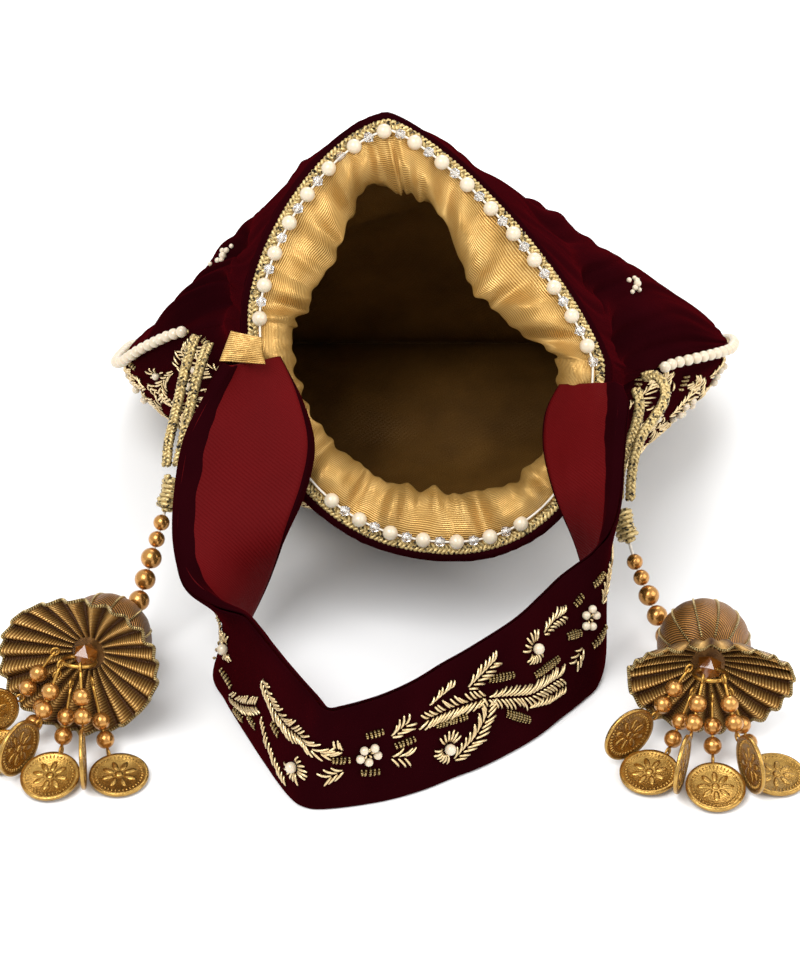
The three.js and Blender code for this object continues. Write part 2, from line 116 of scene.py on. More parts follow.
@dataclass(frozen=True)
class Finish:
    """One real material: its colours, its gloss and the fine relief that the eye reads.

    Attributes:
        name: Common name of the material.
        colour: Main colour, sRGB hex.
        shade: Second colour that the main one drifts to.
        drift_mm: Size of the patches of the second colour.
        roughness: Roughness of the surface.
        metallic: Share of metal.
        grain_mm: Size of the fine grain.
        grain_depth: Strength of the grain's relief.
        pattern: Pattern over the surface.
        pattern_mm: Spacing of the pattern.
        pattern_depth: Strength of the pattern's relief.
        pattern_colour: Colour in the pattern's low places, or none; painted shade between the
            bullion's turns, partly painted shade in the tissue's and skirt's ribs.
        sheen: Weight of the soft edge light of pile and fine cloth.
        sheen_colour: Colour of that light.
        coat: Weight of a clear glossy layer.
        clear: Share of light that passes through.
        ior: Index of refraction.
        subsurface: Share of light that scatters inside.
        gloss: Strength of the plain reflection, 0.5 for most things.
        fold_mm: Spacing of sewn pleats along the first UV direction, for the painted shade between
            them, or none.
        pleat_shade_colour: Painted shade between the pleats' ridges.
    """

    name: str
    colour: str
    shade: str
    drift_mm: float = 14.0
    roughness: float = 0.5
    metallic: float = 0.0
    grain_mm: float = 0.6
    grain_depth: float = 0.15
    pattern: Pattern = Pattern.PLAIN
    pattern_mm: float = 1.0
    pattern_depth: float = 0.3
    pattern_colour: str | None = None
    sheen: float = 0.0
    sheen_colour: str = "#ffffff"
    coat: float = 0.0
    clear: float = 0.0
    ior: float = 1.5
    subsurface: float = 0.0
    gloss: float = 0.5
    fold_mm: float | None = None
    pleat_shade_colour: str = "#000000"

    def material(self) -> bpy.types.Material:
        """Return the Blender material of this finish, made on first use."""
        return bpy.data.materials.get(self.name) or self._make()

    def _make(self) -> bpy.types.Material:
        """Build the node tree of this finish.

        Returns:
            The new material.
        """
        material = bpy.data.materials.new(self.name)
        material.use_nodes = True
        tree = material.node_tree
        shader = tree.nodes["Principled BSDF"]
        constants = {
            "Roughness": self.roughness,
            "Metallic": self.metallic,
            "Specular IOR Level": self.gloss,
            "Sheen Weight": self.sheen,
            "Sheen Roughness": 0.4,
            "Sheen Tint": linear(self.sheen_colour),
            "Coat Weight": self.coat,
            "Coat Roughness": 0.08,
            "Transmission Weight": self.clear,
            "IOR": self.ior,
            "Subsurface Weight": self.subsurface,
            "Subsurface Scale": 0.5 * MM,
        }
        for socket, value in constants.items():
            shader.inputs[socket].default_value = value

        coords = add_node(tree, "ShaderNodeTexCoord")
        drift = add_node(
            tree,
            "ShaderNodeTexNoise",
            {"Vector": coords.outputs["Object"], "Scale": 1 / (self.drift_mm * MM), "Detail": 4.0},
        )
        tone = add_node(
            tree,
            "ShaderNodeMix",
            {0: drift.outputs["Fac"], 6: linear(self.colour), 7: linear(self.shade)},
            data_type="RGBA",
        )
        colour = tone.outputs[2]
        grain = add_node(
            tree,
            "ShaderNodeTexNoise",
            {"Vector": coords.outputs["Object"], "Scale": 1 / (self.grain_mm * MM), "Detail": 3.0},
        )
        bump = add_node(
            tree,
            "ShaderNodeBump",
            {
                "Height": grain.outputs["Fac"],
                "Strength": self.grain_depth,
                "Distance": self.grain_mm * MM,
            },
        )
        if self.pattern is not Pattern.PLAIN:
            height = self._pattern_height(tree, coords)
            bump = add_node(
                tree,
                "ShaderNodeBump",
                {
                    "Height": height,
                    "Strength": self.pattern_depth,
                    "Distance": self.pattern_mm * MM,
                    "Normal": bump.outputs["Normal"],
                },
            )
            # Low places of the pattern take pattern_colour: a yarn's own colour in some finishes,
            # painted shade in others.
            if self.pattern_colour is not None:
                colour = add_node(
                    tree,
                    "ShaderNodeMix",
                    {0: height, 6: linear(self.pattern_colour), 7: colour},
                    data_type="RGBA",
                ).outputs[2]
        # Painted shade: darkens the cloth between the pleats' ridges.
        if self.fold_mm is not None:
            ridges = add_node(
                tree,
                "ShaderNodeTexWave",
                {
                    "Vector": coords.outputs["UV"],
                    "Scale": 0.314159 / (self.fold_mm * MM),
                    "Phase Offset": math.pi,
                },
            )
            colour = add_node(
                tree,
                "ShaderNodeMix",
                {0: ridges.outputs["Fac"], 6: linear(self.pleat_shade_colour), 7: colour},
                data_type="RGBA",
            ).outputs[2]
        tree.links.new(colour, shader.inputs["Base Color"])
        tree.links.new(bump.outputs["Normal"], shader.inputs["Normal"])
        return material

    def _pattern_height(
        self, tree: bpy.types.NodeTree, coords: bpy.types.Node
    ) -> bpy.types.NodeSocket:
        """Add the nodes of the pattern, which follows the piece's own UV map in metres.

        Args:
            tree: Node tree of the material.
            coords: Its Texture Coordinate node.

        Returns:
            Socket with the height of the pattern, 0 to 1.
        """
        if self.pattern is Pattern.FLECKS:
            cells = add_node(
                tree,
                "ShaderNodeTexVoronoi",
                {"Vector": coords.outputs["Object"], "Scale": 1 / (self.pattern_mm * MM)},
            )
            ramp = add_node(
                tree,
                "ShaderNodeMapRange",
                {"Value": cells.outputs["Color"], "From Min": 0.18, "From Max": 0.42},
            )
            return ramp.outputs["Result"]
        turn = {Pattern.TWILL: math.radians(58), Pattern.COIL: math.radians(90)}
        mapping = add_node(
            tree,
            "ShaderNodeMapping",
            {"Vector": coords.outputs["UV"], "Rotation": (0.0, 0.0, turn[self.pattern])},
        )
        # A wave's band repeats every 0.314 of its scaled coordinate.
        wave = add_node(
            tree,
            "ShaderNodeTexWave",
            {
                "Vector": mapping.outputs["Vector"],
                "Scale": 0.314159 / (self.pattern_mm * MM),
                "Distortion": 0.6,
                "Detail": 2.0,
            },
        )
        return wave.outputs["Fac"]


# Velvet is a dense cut pile: very dark face on, with a red bloom along folds and edges.
VELVET = Finish(
    "maroon_cotton_velvet", "#250408", "#110204", drift_mm=26, roughness=1.0,
    grain_mm=0.5, grain_depth=0.35, sheen=0.13, sheen_colour="#b81a20", gloss=0.0,
)
# Satin backing: floats of dull red yarn in slanted lines give a low, streaky gloss.
SATIN = Finish(
    "dark_red_twill_satin", "#5e070a", "#440506", drift_mm=18, roughness=0.65,
    pattern=Pattern.TWILL, pattern_mm=0.8, pattern_depth=0.25, pattern_colour="#520608", gloss=0.05,
)
# Tissue: gold film woven over orange yarn in fine ribs, with a silvery glint; the dark in the ribs'
# low places is partly that yarn, partly painted shade.
GOLD_TISSUE = Finish(
    "ribbed_gold_tissue", "#efcd84", "#c1903f", drift_mm=6, roughness=0.32, metallic=0.5,
    pattern=Pattern.COIL, pattern_mm=0.8, pattern_depth=0.4, pattern_colour="#9c6d2a",
    grain_mm=0.35, grain_depth=0.35,
)
# Inner lining: the same yarns without film; its brown colour is partly painted shade of the bag's
# depth.
LINING = Finish(
    "brown_gold_lining", "#8a622c", "#3f280d", drift_mm=22, roughness=0.42, metallic=0.25,
    pattern=Pattern.TWILL, pattern_mm=0.9, pattern_depth=0.12, grain_mm=0.5, grain_depth=0.5,
    gloss=0.3,
)
# Lurex braid: bright gold film knitted with black yarn.
BRAID = Finish(
    "black_flecked_gold_braid", "#dcc58c", "#ab8f55", drift_mm=1.6, roughness=0.38, metallic=0.5,
    pattern=Pattern.FLECKS, pattern_mm=0.7, pattern_depth=0.4, pattern_colour="#1f160c",
)
# Moulded imitation pearl: milky body under a clear lacquer.
PEARL = Finish(
    "imitation_pearl", "#d8cab2", "#c3b398", drift_mm=4, roughness=0.25, grain_depth=0.02,
    coat=0.5, subsurface=0.1,
)
# Pressed crystal: clear glass with flat facets.
CRYSTAL = Finish(
    "clear_crystal", "#ffffff", "#f4f4f4", roughness=0.03, grain_depth=0.0, clear=0.9, ior=1.52,
)
# Cotton thread between the pearls.
THREAD = Finish("white_cotton_thread", "#e9e3d8", "#d8cfc0", drift_mm=2, roughness=0.8)
# Metallised plastic beads: copper-gold film with a deep orange shadow side.
GOLD_BEAD = Finish(
    "copper_gold_bead", "#cb9650", "#a06a2c", drift_mm=5, roughness=0.24, metallic=0.85,
    grain_depth=0.03, coat=0.3,
)
# Bullion: fine gold wire wound into a springy coil, couched down in short lengths; the dark between
# its turns is painted shade.
BULLION = Finish(
    "gold_bullion_coil", "#dcc892", "#ae945c", drift_mm=2, roughness=0.28, metallic=0.85,
    pattern=Pattern.COIL, pattern_mm=0.75, pattern_depth=0.9, pattern_colour="#6e4f1e",
)
# Pipe: smooth gold-filmed tube, cut short and sewn down as one straight stitch.
PIPE = Finish(
    "gold_pipe_stitch", "#e9d6ac", "#c6a671", drift_mm=3, roughness=0.25, metallic=0.8,
    grain_depth=0.05,
)
# Ball cloth: brown twill with gold thread woven through it.
BALL_CLOTH = Finish(
    "brown_gold_twill", "#c98c40", "#744a20", drift_mm=6, roughness=0.35, metallic=0.6,
    pattern=Pattern.TWILL, pattern_mm=0.8, pattern_depth=0.6, pattern_colour="#2c190b",
)
# Skirt cloth: the same yarns in thick cross ribs, with painted shade between its pleats; the dark
# in the ribs' low places is partly the brown yarn, partly painted shade.
SKIRT_CLOTH = Finish(
    "brown_gold_ribbed_cloth", "#ffd98a", "#dda24c", drift_mm=5, roughness=0.32, metallic=0.5,
    pattern=Pattern.COIL, pattern_mm=1.0, pattern_depth=0.6, pattern_colour="#85561f",
    fold_mm=150 / 22, pleat_shade_colour="#4a2b10",
)
# Stamped brass, worn bright on the relief and brown in the hollows.
COIN_BRASS = Finish(
    "stamped_brass", "#cda65c", "#7b5624", drift_mm=2.5, roughness=0.26, metallic=0.95,
    grain_mm=0.5, grain_depth=0.25,
)
# Drawn brass wire of the rings and loops.
WIRE = Finish("brass_wire", "#c79a4e", "#a37a36", drift_mm=3, roughness=0.3, metallic=0.95)
# Amber resin of the faceted tassel cap.
AMBER = Finish(
    "amber_resin", "#9a5a1c", "#6e3a0e", drift_mm=3, roughness=0.15, grain_depth=0.0,
    coat=0.8, clear=0.25,
)


# Curves and surfaces


def catmull(points: Sequence[Sequence[float]], t: float) -> Vector:
    """Read a smooth curve through given points.

    Args:
        points: Points the curve passes through.
        t: Place along the curve, 0 to 1, evenly shared among the spans.

    Returns:
        The point on the curve.
    """
    return Vector([smooth([p[axis] for p in points], t) for axis in range(3)])


def smooth(values: Sequence[float], t: float) -> float:
    """Read a smooth curve through evenly spaced values.

    Args:
        values: Values that the curve passes through.
        t: Place along the curve, 0 to 1.

    Returns:
        The value there.
    """
    last = len(values) - 1
    place = min(max(t, 0.0), 1.0) * last
    i = min(int(place), last - 1)
    k = place - i
    before, start, end, after = (values[min(max(i + n, 0), last)] for n in (-1, 0, 1, 2))
    slope_in = (end - before) / 2
    slope_out = (after - start) / 2
    rise = end - start
    bend = 3 * rise - 2 * slope_in - slope_out
    twist = slope_in + slope_out - 2 * rise
    return start + k * (slope_in + k * (bend + k * twist))


def signed_power(value: float, power: float) -> float:
    """Raise the size of a number to a power and keep its sign."""
    return math.copysign(abs(value) ** power, value)


def mix(a: float, b: float, t: float) -> float:
    """Return the value t of the way from a to b."""
    return a + (b - a) * t


def ease(t: float) -> float:
    """Return t with a slow start and a slow end."""
    t = min(max(t, 0.0), 1.0)
    return t * t * (3 - 2 * t)


def metres(point: Vector) -> Vector:
    """Turn a point of the set-out, in millimetres, into the row frame in metres."""
    return (point + SET_OUT) * MM


Place = Callable[[float, float], Vector]


@dataclass
class Piece:
    """A mesh in the making: shapes are added in millimetres, then it is dressed and placed.

    Attributes:
        name: Name of the finished object.
        finish: Its material.
        body: Body of the model that it moves with.
        slot: Material slot of the record; not used.
    """

    name: str
    finish: Finish
    slot: str
    body: str = BAG
    mesh: bmesh.types.BMesh = field(default_factory=bmesh.new)

    def __post_init__(self) -> None:
        """Give the mesh a UV map, which holds metres along the surface."""
        self.uv = self.mesh.loops.layers.uv.new("UVMap")

    def sheet(
        self,
        columns: int,
        rows: int,
        place: Place,
        size: tuple[float, float] = (1.0, 1.0),
        closed: bool = False,
    ) -> list[bmesh.types.BMVert]:
        """Lay a grid over a surface.

        Args:
            columns: Faces along the first direction.
            rows: Faces along the second direction.
            place: Gives the point for two values from 0 to 1.
            size: Real size of the grid in millimetres, for its UV map.
            closed: True where the first direction runs round and meets itself.

        Returns:
            The new corners.
        """
        made = bmesh.ops.create_grid(self.mesh, x_segments=columns, y_segments=rows, size=0.5)
        corners = made["verts"]
        faces = {f for v in corners for f in v.link_faces}
        for face in faces:
            for loop in face.loops:
                u, v = loop.vert.co.x + 0.5, loop.vert.co.y + 0.5
                loop[self.uv].uv = (u * size[0] * MM, v * size[1] * MM)
        for corner in corners:
            corner.co = place(corner.co.x + 0.5, corner.co.y + 0.5)
        if closed:
            bmesh.ops.remove_doubles(self.mesh, verts=corners, dist=1e-4)
            corners = [v for v in corners if v.is_valid]
        return corners

    def tube(
        self,
        path: Sequence[Vector],
        radius: float | Callable[[float], float],
        sides: int = 6,
        looped: bool = False,
    ) -> None:
        """Sweep a round section along a path and close its ends.

        Args:
            path: Points in millimetres.
            radius: Radius, or a function of the place along the path, 0 to 1.
            sides: Faces round the section.
            looped: True where the last point meets the first.
        """
        count = len(path) - 1
        length = sum((b - a).length for a, b in zip(path, path[1:]))
        frames = list(self._frames(path, looped))
        thick = radius if callable(radius) else lambda _: radius

        def place(u: float, v: float) -> Vector:
            """Return a point of the tube."""
            i = round(v * count)
            side, over = frames[i % count if looped else i]
            turn = 2 * math.pi * u
            spread = thick(v)
            return path[i] + side * (math.cos(turn) * spread) + over * (math.sin(turn) * spread)

        around = 2 * math.pi * thick(0.5)
        corners = self.sheet(sides, count, place, (around, length), closed=True)
        if looped:
            bmesh.ops.remove_doubles(self.mesh, verts=corners, dist=1e-3)
            return
        edges = {e for v in corners for e in v.link_edges if e.is_boundary}
        bmesh.ops.holes_fill(self.mesh, edges=list(edges), sides=0)

    @staticmethod
    def _frames(path: Sequence[Vector], looped: bool) -> Iterable[tuple[Vector, Vector]]:
        """Carry a pair of cross directions along a path without twist.

        Args:
            path: Points of the path.
            looped: True where the last point meets the first.

        Yields:
            Two directions across the path at each point.
        """
        last = len(path) - 1
        side = None
        for i in range(last + 1):
            before = path[i - 1] if i else path[last - 1 if looped else 0]
            after = path[i + 1] if i < last else path[1 if looped else last]
            along = (after - before).normalized()
            if side is None:
                side = along.orthogonal().normalized()
            side = (side - along * side.dot(along)).normalized()
            yield side, along.cross(side)

    def ball(self, centre: Vector, radius: float, detail: int = 3) -> None:
        """Add a round bead.

        Args:
            centre: Middle of the bead.
            radius: Its radius.
            detail: Steps of subdivision.
        """
        shape = Matrix.Translation(centre)
        bmesh.ops.create_icosphere(self.mesh, subdivisions=detail, radius=radius, matrix=shape)

    def finish_piece(
        self,
        replaces: Sequence[str] = (),
        wall: float = 0.0,
        flat: bool = False,
        turn_out: bool = True,
    ) -> bpy.types.Object:
        """Turn the mesh into an object of the scene and dress it.

        Args:
            replaces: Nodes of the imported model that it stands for.
            wall: Thickness in millimetres grown to the back of a sheet.
            flat: True for facets, false for smooth shading.
            turn_out: True to turn the faces of closed shapes outwards.

        Returns:
            The finished object.
        """
        if turn_out:
            bmesh.ops.recalc_face_normals(self.mesh, faces=self.mesh.faces)
        for corner in self.mesh.verts:
            corner.co = metres(corner.co)
        for face in self.mesh.faces:
            face.smooth = not flat
        data = bpy.data.meshes.new(self.name)
        self.mesh.to_mesh(data)
        self.mesh.free()
        data.materials.append(self.finish.material())
        item = bpy.data.objects.new(self.name, data)
        bpy.context.scene.collection.objects.link(item)
        if wall:
            solid = item.modifiers.new("cloth_thickness", "SOLIDIFY")
            solid.thickness = wall * MM
            solid.offset = -1.0
        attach(item, self.body)
        if replaces:
            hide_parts(*replaces)
        LOG.info("%s: %d faces", self.name, len(data.polygons))
        return item


# Stage


@dataclass
class Studio:
    """Pale floor, soft light and the camera.

    Attributes:
        target: Point that the camera looks at, in metres.
        distance: Camera to target, in metres.
        elevation: Height of the camera above the floor plane, in degrees.
        lens: Focal length in millimetres on a 36 mm frame.
    """

    target: Vector = field(default_factory=lambda: metres(Vector((-6.6, -44.7, 56.8))))
    distance: float = 0.8
    elevation: float = 35.0
    lens: float = 96.0

    def build(self) -> None:
        """Set up the camera, the floor, the lamps and the world."""
        self._camera()
        self._floor()
        self._lamp("key_softbox", (-0.35, -0.55, 1.05), 0.7, 11.5)
        self._lamp("fill_softbox", (0.8, -0.35, 0.7), 0.8, 5.0)
        self._lamp("back_softbox", (0.1, 0.8, 0.9), 0.6, 5.0)
        self._world()
        bpy.context.scene.view_settings.view_transform = "Standard"

    def _camera(self) -> None:
        """Place the camera at the photograph's angle."""
        data = bpy.data.cameras.new("camera")
        data.lens = self.lens
        data.dof.use_dof = False
        camera = bpy.data.objects.new("camera", data)
        tilt = math.radians(self.elevation)
        away = Vector((0.0, -math.cos(tilt), math.sin(tilt)))
        camera.location = self.target + away * self.distance
        camera.rotation_euler = (-away).to_track_quat("-Z", "Y").to_euler()
        bpy.context.scene.collection.objects.link(camera)
        bpy.context.scene.camera = camera

    def _floor(self) -> None:
        """Lay a wide white floor."""
        mesh = bmesh.new()
        bmesh.ops.create_grid(mesh, x_segments=1, y_segments=1, size=6.0)
        data = bpy.data.meshes.new("floor")
        mesh.to_mesh(data)
        mesh.free()
        floor = bpy.data.objects.new("floor", data)
        floor.location.z = -0.0004
        bpy.context.scene.collection.objects.link(floor)
        material = bpy.data.materials.new("white_paper_floor")
        material.use_nodes = True
        shader = material.node_tree.nodes["Principled BSDF"]
        shader.inputs["Base Color"].default_value = linear("#f6f6f6")
        shader.inputs["Roughness"].default_value = 0.9
        data.materials.append(material)

    def _lamp(
        self, name: str, place: tuple[float, float, float], size: float, power: float
    ) -> None:
        """Add a square soft lamp that faces the target.

        Args:
            name: Name of the lamp.
            place: Its place in metres.
            size: Side of the square in metres.
            power: Power in watts.
        """
        data = bpy.data.lights.new(name, "AREA")
        data.size = size
        data.energy = power
        lamp = bpy.data.objects.new(name, data)
        lamp.location = place
        aim = self.target - Vector(place)
        lamp.rotation_euler = aim.to_track_quat("-Z", "Y").to_euler()
        bpy.context.scene.collection.objects.link(lamp)

    def _world(self) -> None:
        """Light the scene softly from all round, white where the camera sees past the floor."""
        world = bpy.data.worlds.new("studio")
        world.use_nodes = True
        tree = world.node_tree
        tree.nodes.clear()
        path = add_node(tree, "ShaderNodeLightPath")
        seen = path.outputs["Is Camera Ray"]
        for ray in ("Is Glossy Ray", "Is Transmission Ray"):
            seen = add_node(
                tree,
                "ShaderNodeMath",
                {0: seen, 1: path.outputs[ray]},
                operation="MAXIMUM",
            ).outputs["Value"]
        strength = add_node(
            tree, "ShaderNodeMapRange", {"Value": seen, "To Min": 0.78, "To Max": 1.0}
        )
        back = add_node(
            tree,
            "ShaderNodeBackground",
            {"Color": (1.0, 1.0, 1.0, 1.0), "Strength": strength.outputs["Result"]},
        )
        add_node(tree, "ShaderNodeOutputWorld", {"Surface": back.outputs["Background"]})
        bpy.context.scene.world = world


# Bag


@dataclass(frozen=True)
class Section:
    """One cross-section of the bag, in millimetres and degrees.

    Attributes:
        x, y, z: Centre.
        lean: Backward lean of its up direction.
        wide: Half width.
        rise: Height above the side seams.
        drop: Depth below the side seams.
        up: Roundness of the upper half, 1 for a diamond and 2 for an ellipse.
        low: Roundness of the lower half.
        tilt: Sideways slope of the seam line.
        top: Sideways lean of the top.
    """

    x: float
    y: float
    z: float
    lean: float
    wide: float
    rise: float
    drop: float
    up: float
    low: float
    tilt: float
    top: float


@dataclass
class BagForm:
    """The shape of the open bag from its mouth edge to its bottom seam.

    Attributes:
        sections: Cross-sections, evenly spaced along the bag.
        neck: Place of the drawstring channel, 0 at the mouth and 1 at the bottom.
        neck_folds: Main gathers round the neck.
        fold_height: Height of a main gather.
        floor_ease: Height over which the cloth rounds onto the floor.
        inward: Direction into the mouth.
    """

    sections: tuple[Section, ...] = (
        Section(1.6, -20, 92, 35, 58, 72, 68, 1.4, 2.2, -0.12, -0.17),
        Section(1.4, -9, 84, 35, 62.5, 70, 65, 1.6, 2.1, -0.12, -0.12),
        Section(1.2, 3, 75, 34, 65, 63, 60, 1.85, 2.0, -0.11, -0.07),
        Section(1.6, 22, 63, 30, 87, 62, 63, 1.5, 1.75, -0.03, -0.03),
        Section(2.6, 42, 48.5, 24, 102.5, 59, 54, 1.28, 1.6, 0.025, 0),
        Section(2.4, 68, 35, 14, 105.5, 51, 45, 1.32, 1.7, 0.03, 0),
        Section(2, 92, 22, 4, 104.5, 33, 30, 1.5, 1.9, 0.01, 0),
        Section(1, 108, 12, 0, 99, 1.7, 1.7, 2, 2, 0, 0),
    )
    neck: float = 2 / 7
    neck_folds: int = 20
    fold_height: float = 1.8
    floor_ease: float = 4.0
    inward: Vector = field(
        default_factory=lambda: Vector((0, math.cos(math.radians(35)), -math.sin(math.radians(35))))
    )

    def __post_init__(self) -> None:
        """Keep each measure of the sections as one row of values."""
        keys = Section.__dataclass_fields__
        self.rows = {key: [getattr(item, key) for item in self.sections] for key in keys}

    def read(self, key: str, s: float) -> float:
        """Return one measure of the section at s."""
        return smooth(self.rows[key], s)

    def rest_on(self, level: float, z: float) -> float:
        """Flatten cloth softly onto a level.

        Args:
            level: Height that it lies on.
            z: Height that it would have.

        Returns:
            The height that it takes.
        """
        h = z - level
        if h > self.floor_ease:
            return z
        if h < -self.floor_ease:
            return level
        return level + (h + self.floor_ease) ** 2 / (4 * self.floor_ease)

    def gather(self, s: float, angle: float) -> float:
        """Return the height of the gathers, deepest at the neck."""
        away = (s - self.neck) / (0.16 if s < self.neck else 0.2)
        return self.fold_height * math.exp(-away * away) * math.cos(self.neck_folds * angle)

    def creases(self, s: float, angle: float) -> float:
        """Return the fine folds that run out from the neck, and the slack of the cloth.

        Args:
            s: Place from the mouth to the bottom.
            angle: Place round the bag.

        Returns:
            Height above the plain form.
        """
        ring = Vector((math.cos(angle), math.sin(angle), 0.0))
        wander = 0.9 * noise.noise(ring * 2.2 + Vector((0, 0, 3.1 * s)))
        away = (s - self.neck) / (0.2 if s < self.neck else 0.45)
        strength = math.exp(-away * away)
        fine = 2 * abs(math.cos(23 * angle + 6 * wander)) - 1.2
        finer = 2 * abs(math.cos(41 * angle + 9 * wander + 1.3)) - 1.2
        patchy = 0.55 + 0.45 * noise.noise(ring * 3.1 + Vector((5, 2, 2.0 * s)))
        slack = noise.noise(ring * 2.6 + Vector((1.7, 8.2, 4.5 * s)))
        belly = ease((s - 0.3) / 0.2) * ease((1.0 - s) / 0.2)
        return strength * patchy * (1.15 * fine + 0.6 * finer) + 1.8 * belly * slack

    def point(
        self, s: float, angle: float, inset: float, folds: float = 1.0, floor: float = 0.0
    ) -> Vector:
        """Find a point of the bag wall.

        Args:
            s: Place from the mouth, 0, to the bottom seam, 1.
            angle: Place round the bag: 0 the right seam, pi the left one, the back between them.
            inset: Depth below the velvet's face.
            folds: Share of the gathers and creases.
            floor: Height of the surface that the bag lies on.

        Returns:
            The point in set-out millimetres.
        """
        upper = math.sin(angle) >= 0
        power = 2 / self.read("up" if upper else "low", s)
        across = signed_power(math.cos(angle), power)
        height = signed_power(math.sin(angle), power)
        depth = inset
        if folds:
            depth -= folds * (self.gather(s, angle) + self.creases(s, angle))
        wide = max(self.read("wide", s) - depth, 0.1)
        tall = max(self.read("rise" if upper else "drop", s) - depth, 0.1)
        lean = math.radians(self.read("lean", s))
        side = across * wide + max(height, 0.0) * tall * self.read("top", s)
        up = height * tall + across * wide * self.read("tilt", s)
        z = self.read("z", s) + up * math.cos(lean)
        return Vector(
            (
                self.read("x", s) + side,
                self.read("y", s) + up * math.sin(lean),
                self.rest_on(floor + inset, z),
            )
        )


def even_path(points: Sequence[Vector], count: int, looped: bool = False) -> list[Vector]:
    """Space points evenly along a line.

    Args:
        points: The line, close enough to be taken as straight between its points.
        count: Number of spans.
        looped: True where the line returns to its first point.

    Returns:
        One more point than spans; on a loop the last one equals the first.
    """
    line = [*points, points[0]] if looped else list(points)
    runs = [0.0]
    for a, b in zip(line, line[1:]):
        runs.append(runs[-1] + (b - a).length)
    spaced, k = [], 0
    for i in range(count + 1):
        goal = runs[-1] * i / count
        while k < len(line) - 2 and runs[k + 1] < goal:
            k += 1
        span = runs[k + 1] - runs[k]
        spaced.append(line[k].lerp(line[k + 1], (goal - runs[k]) / span if span else 0.0))
    return spaced


def path_length(path: Sequence[Vector]) -> float:
    """Return the length of a line."""
    return sum((b - a).length for a, b in zip(path, path[1:]))


def plait(
    piece: Piece,
    path: Sequence[Vector],
    half_width: float,
    half_height: float,
    strand: float,
    pitch: float,
    face: Vector | None = None,
    looped: bool = False,
) -> None:
    """Add a three-strand plait along a path.

    Args:
        piece: Piece that takes the strands.
        path: Middle line of the plait, finely spaced.
        half_width: Swing of a strand to each side.
        half_height: Swing of a strand up and down.
        strand: Radius of a strand.
        pitch: Length of one full crossing.
        face: Direction that the flat of the plait faces, or none for any.
        looped: True where the path closes on itself.
    """
    length = path_length(path)
    turns = max(round(length / pitch), 1)
    last = len(path) - 1
    for k in range(3):
        line = []
        for i, middle in enumerate(path):
            after = path[min(i + 1, last)] if not looped else path[(i + 1) % last]
            before = path[max(i - 1, 0)] if not looped else path[(i - 1) % last]
            along = (after - before).normalized()
            over = (face or UP) - along * (face or UP).dot(along)
            over.normalize()
            side = along.cross(over)
            phase = 2 * math.pi * (turns * i / last + k / 3)
            swing = side * (half_width * math.sin(phase))
            line.append(middle + (swing + over * (half_height * math.sin(2 * phase))))
        piece.tube(line, strand, 6, looped)


# Embroidery


class Side(Enum):
    """Which side of a stem carries stitches."""

    LEFT = (1,)
    RIGHT = (-1,)
    BOTH = (1, -1)


Cloth = Callable[[float, float, float], Vector]
Spot = tuple[float, float]


# Place along a stitch, from -1 to 1, and share of its radius there.
STITCH_RINGS = ((-1.0, 0.0), (-0.88, 0.8), (-0.3, 1.0), (0.3, 1.0), (0.88, 0.8), (1.0, 0.0))


@dataclass(frozen=True)
class Stitch:
    """One short tube sewn to a cloth.

    Attributes:
        middle: Its middle.
        reach: From its middle to its end.
        side: Direction across it, along the cloth.
        up: Direction away from the cloth.
        radius: Its radius.
        bow: Sideways bend of its middle.
    """

    middle: Vector
    reach: Vector
    side: Vector
    up: Vector
    radius: float
    bow: float


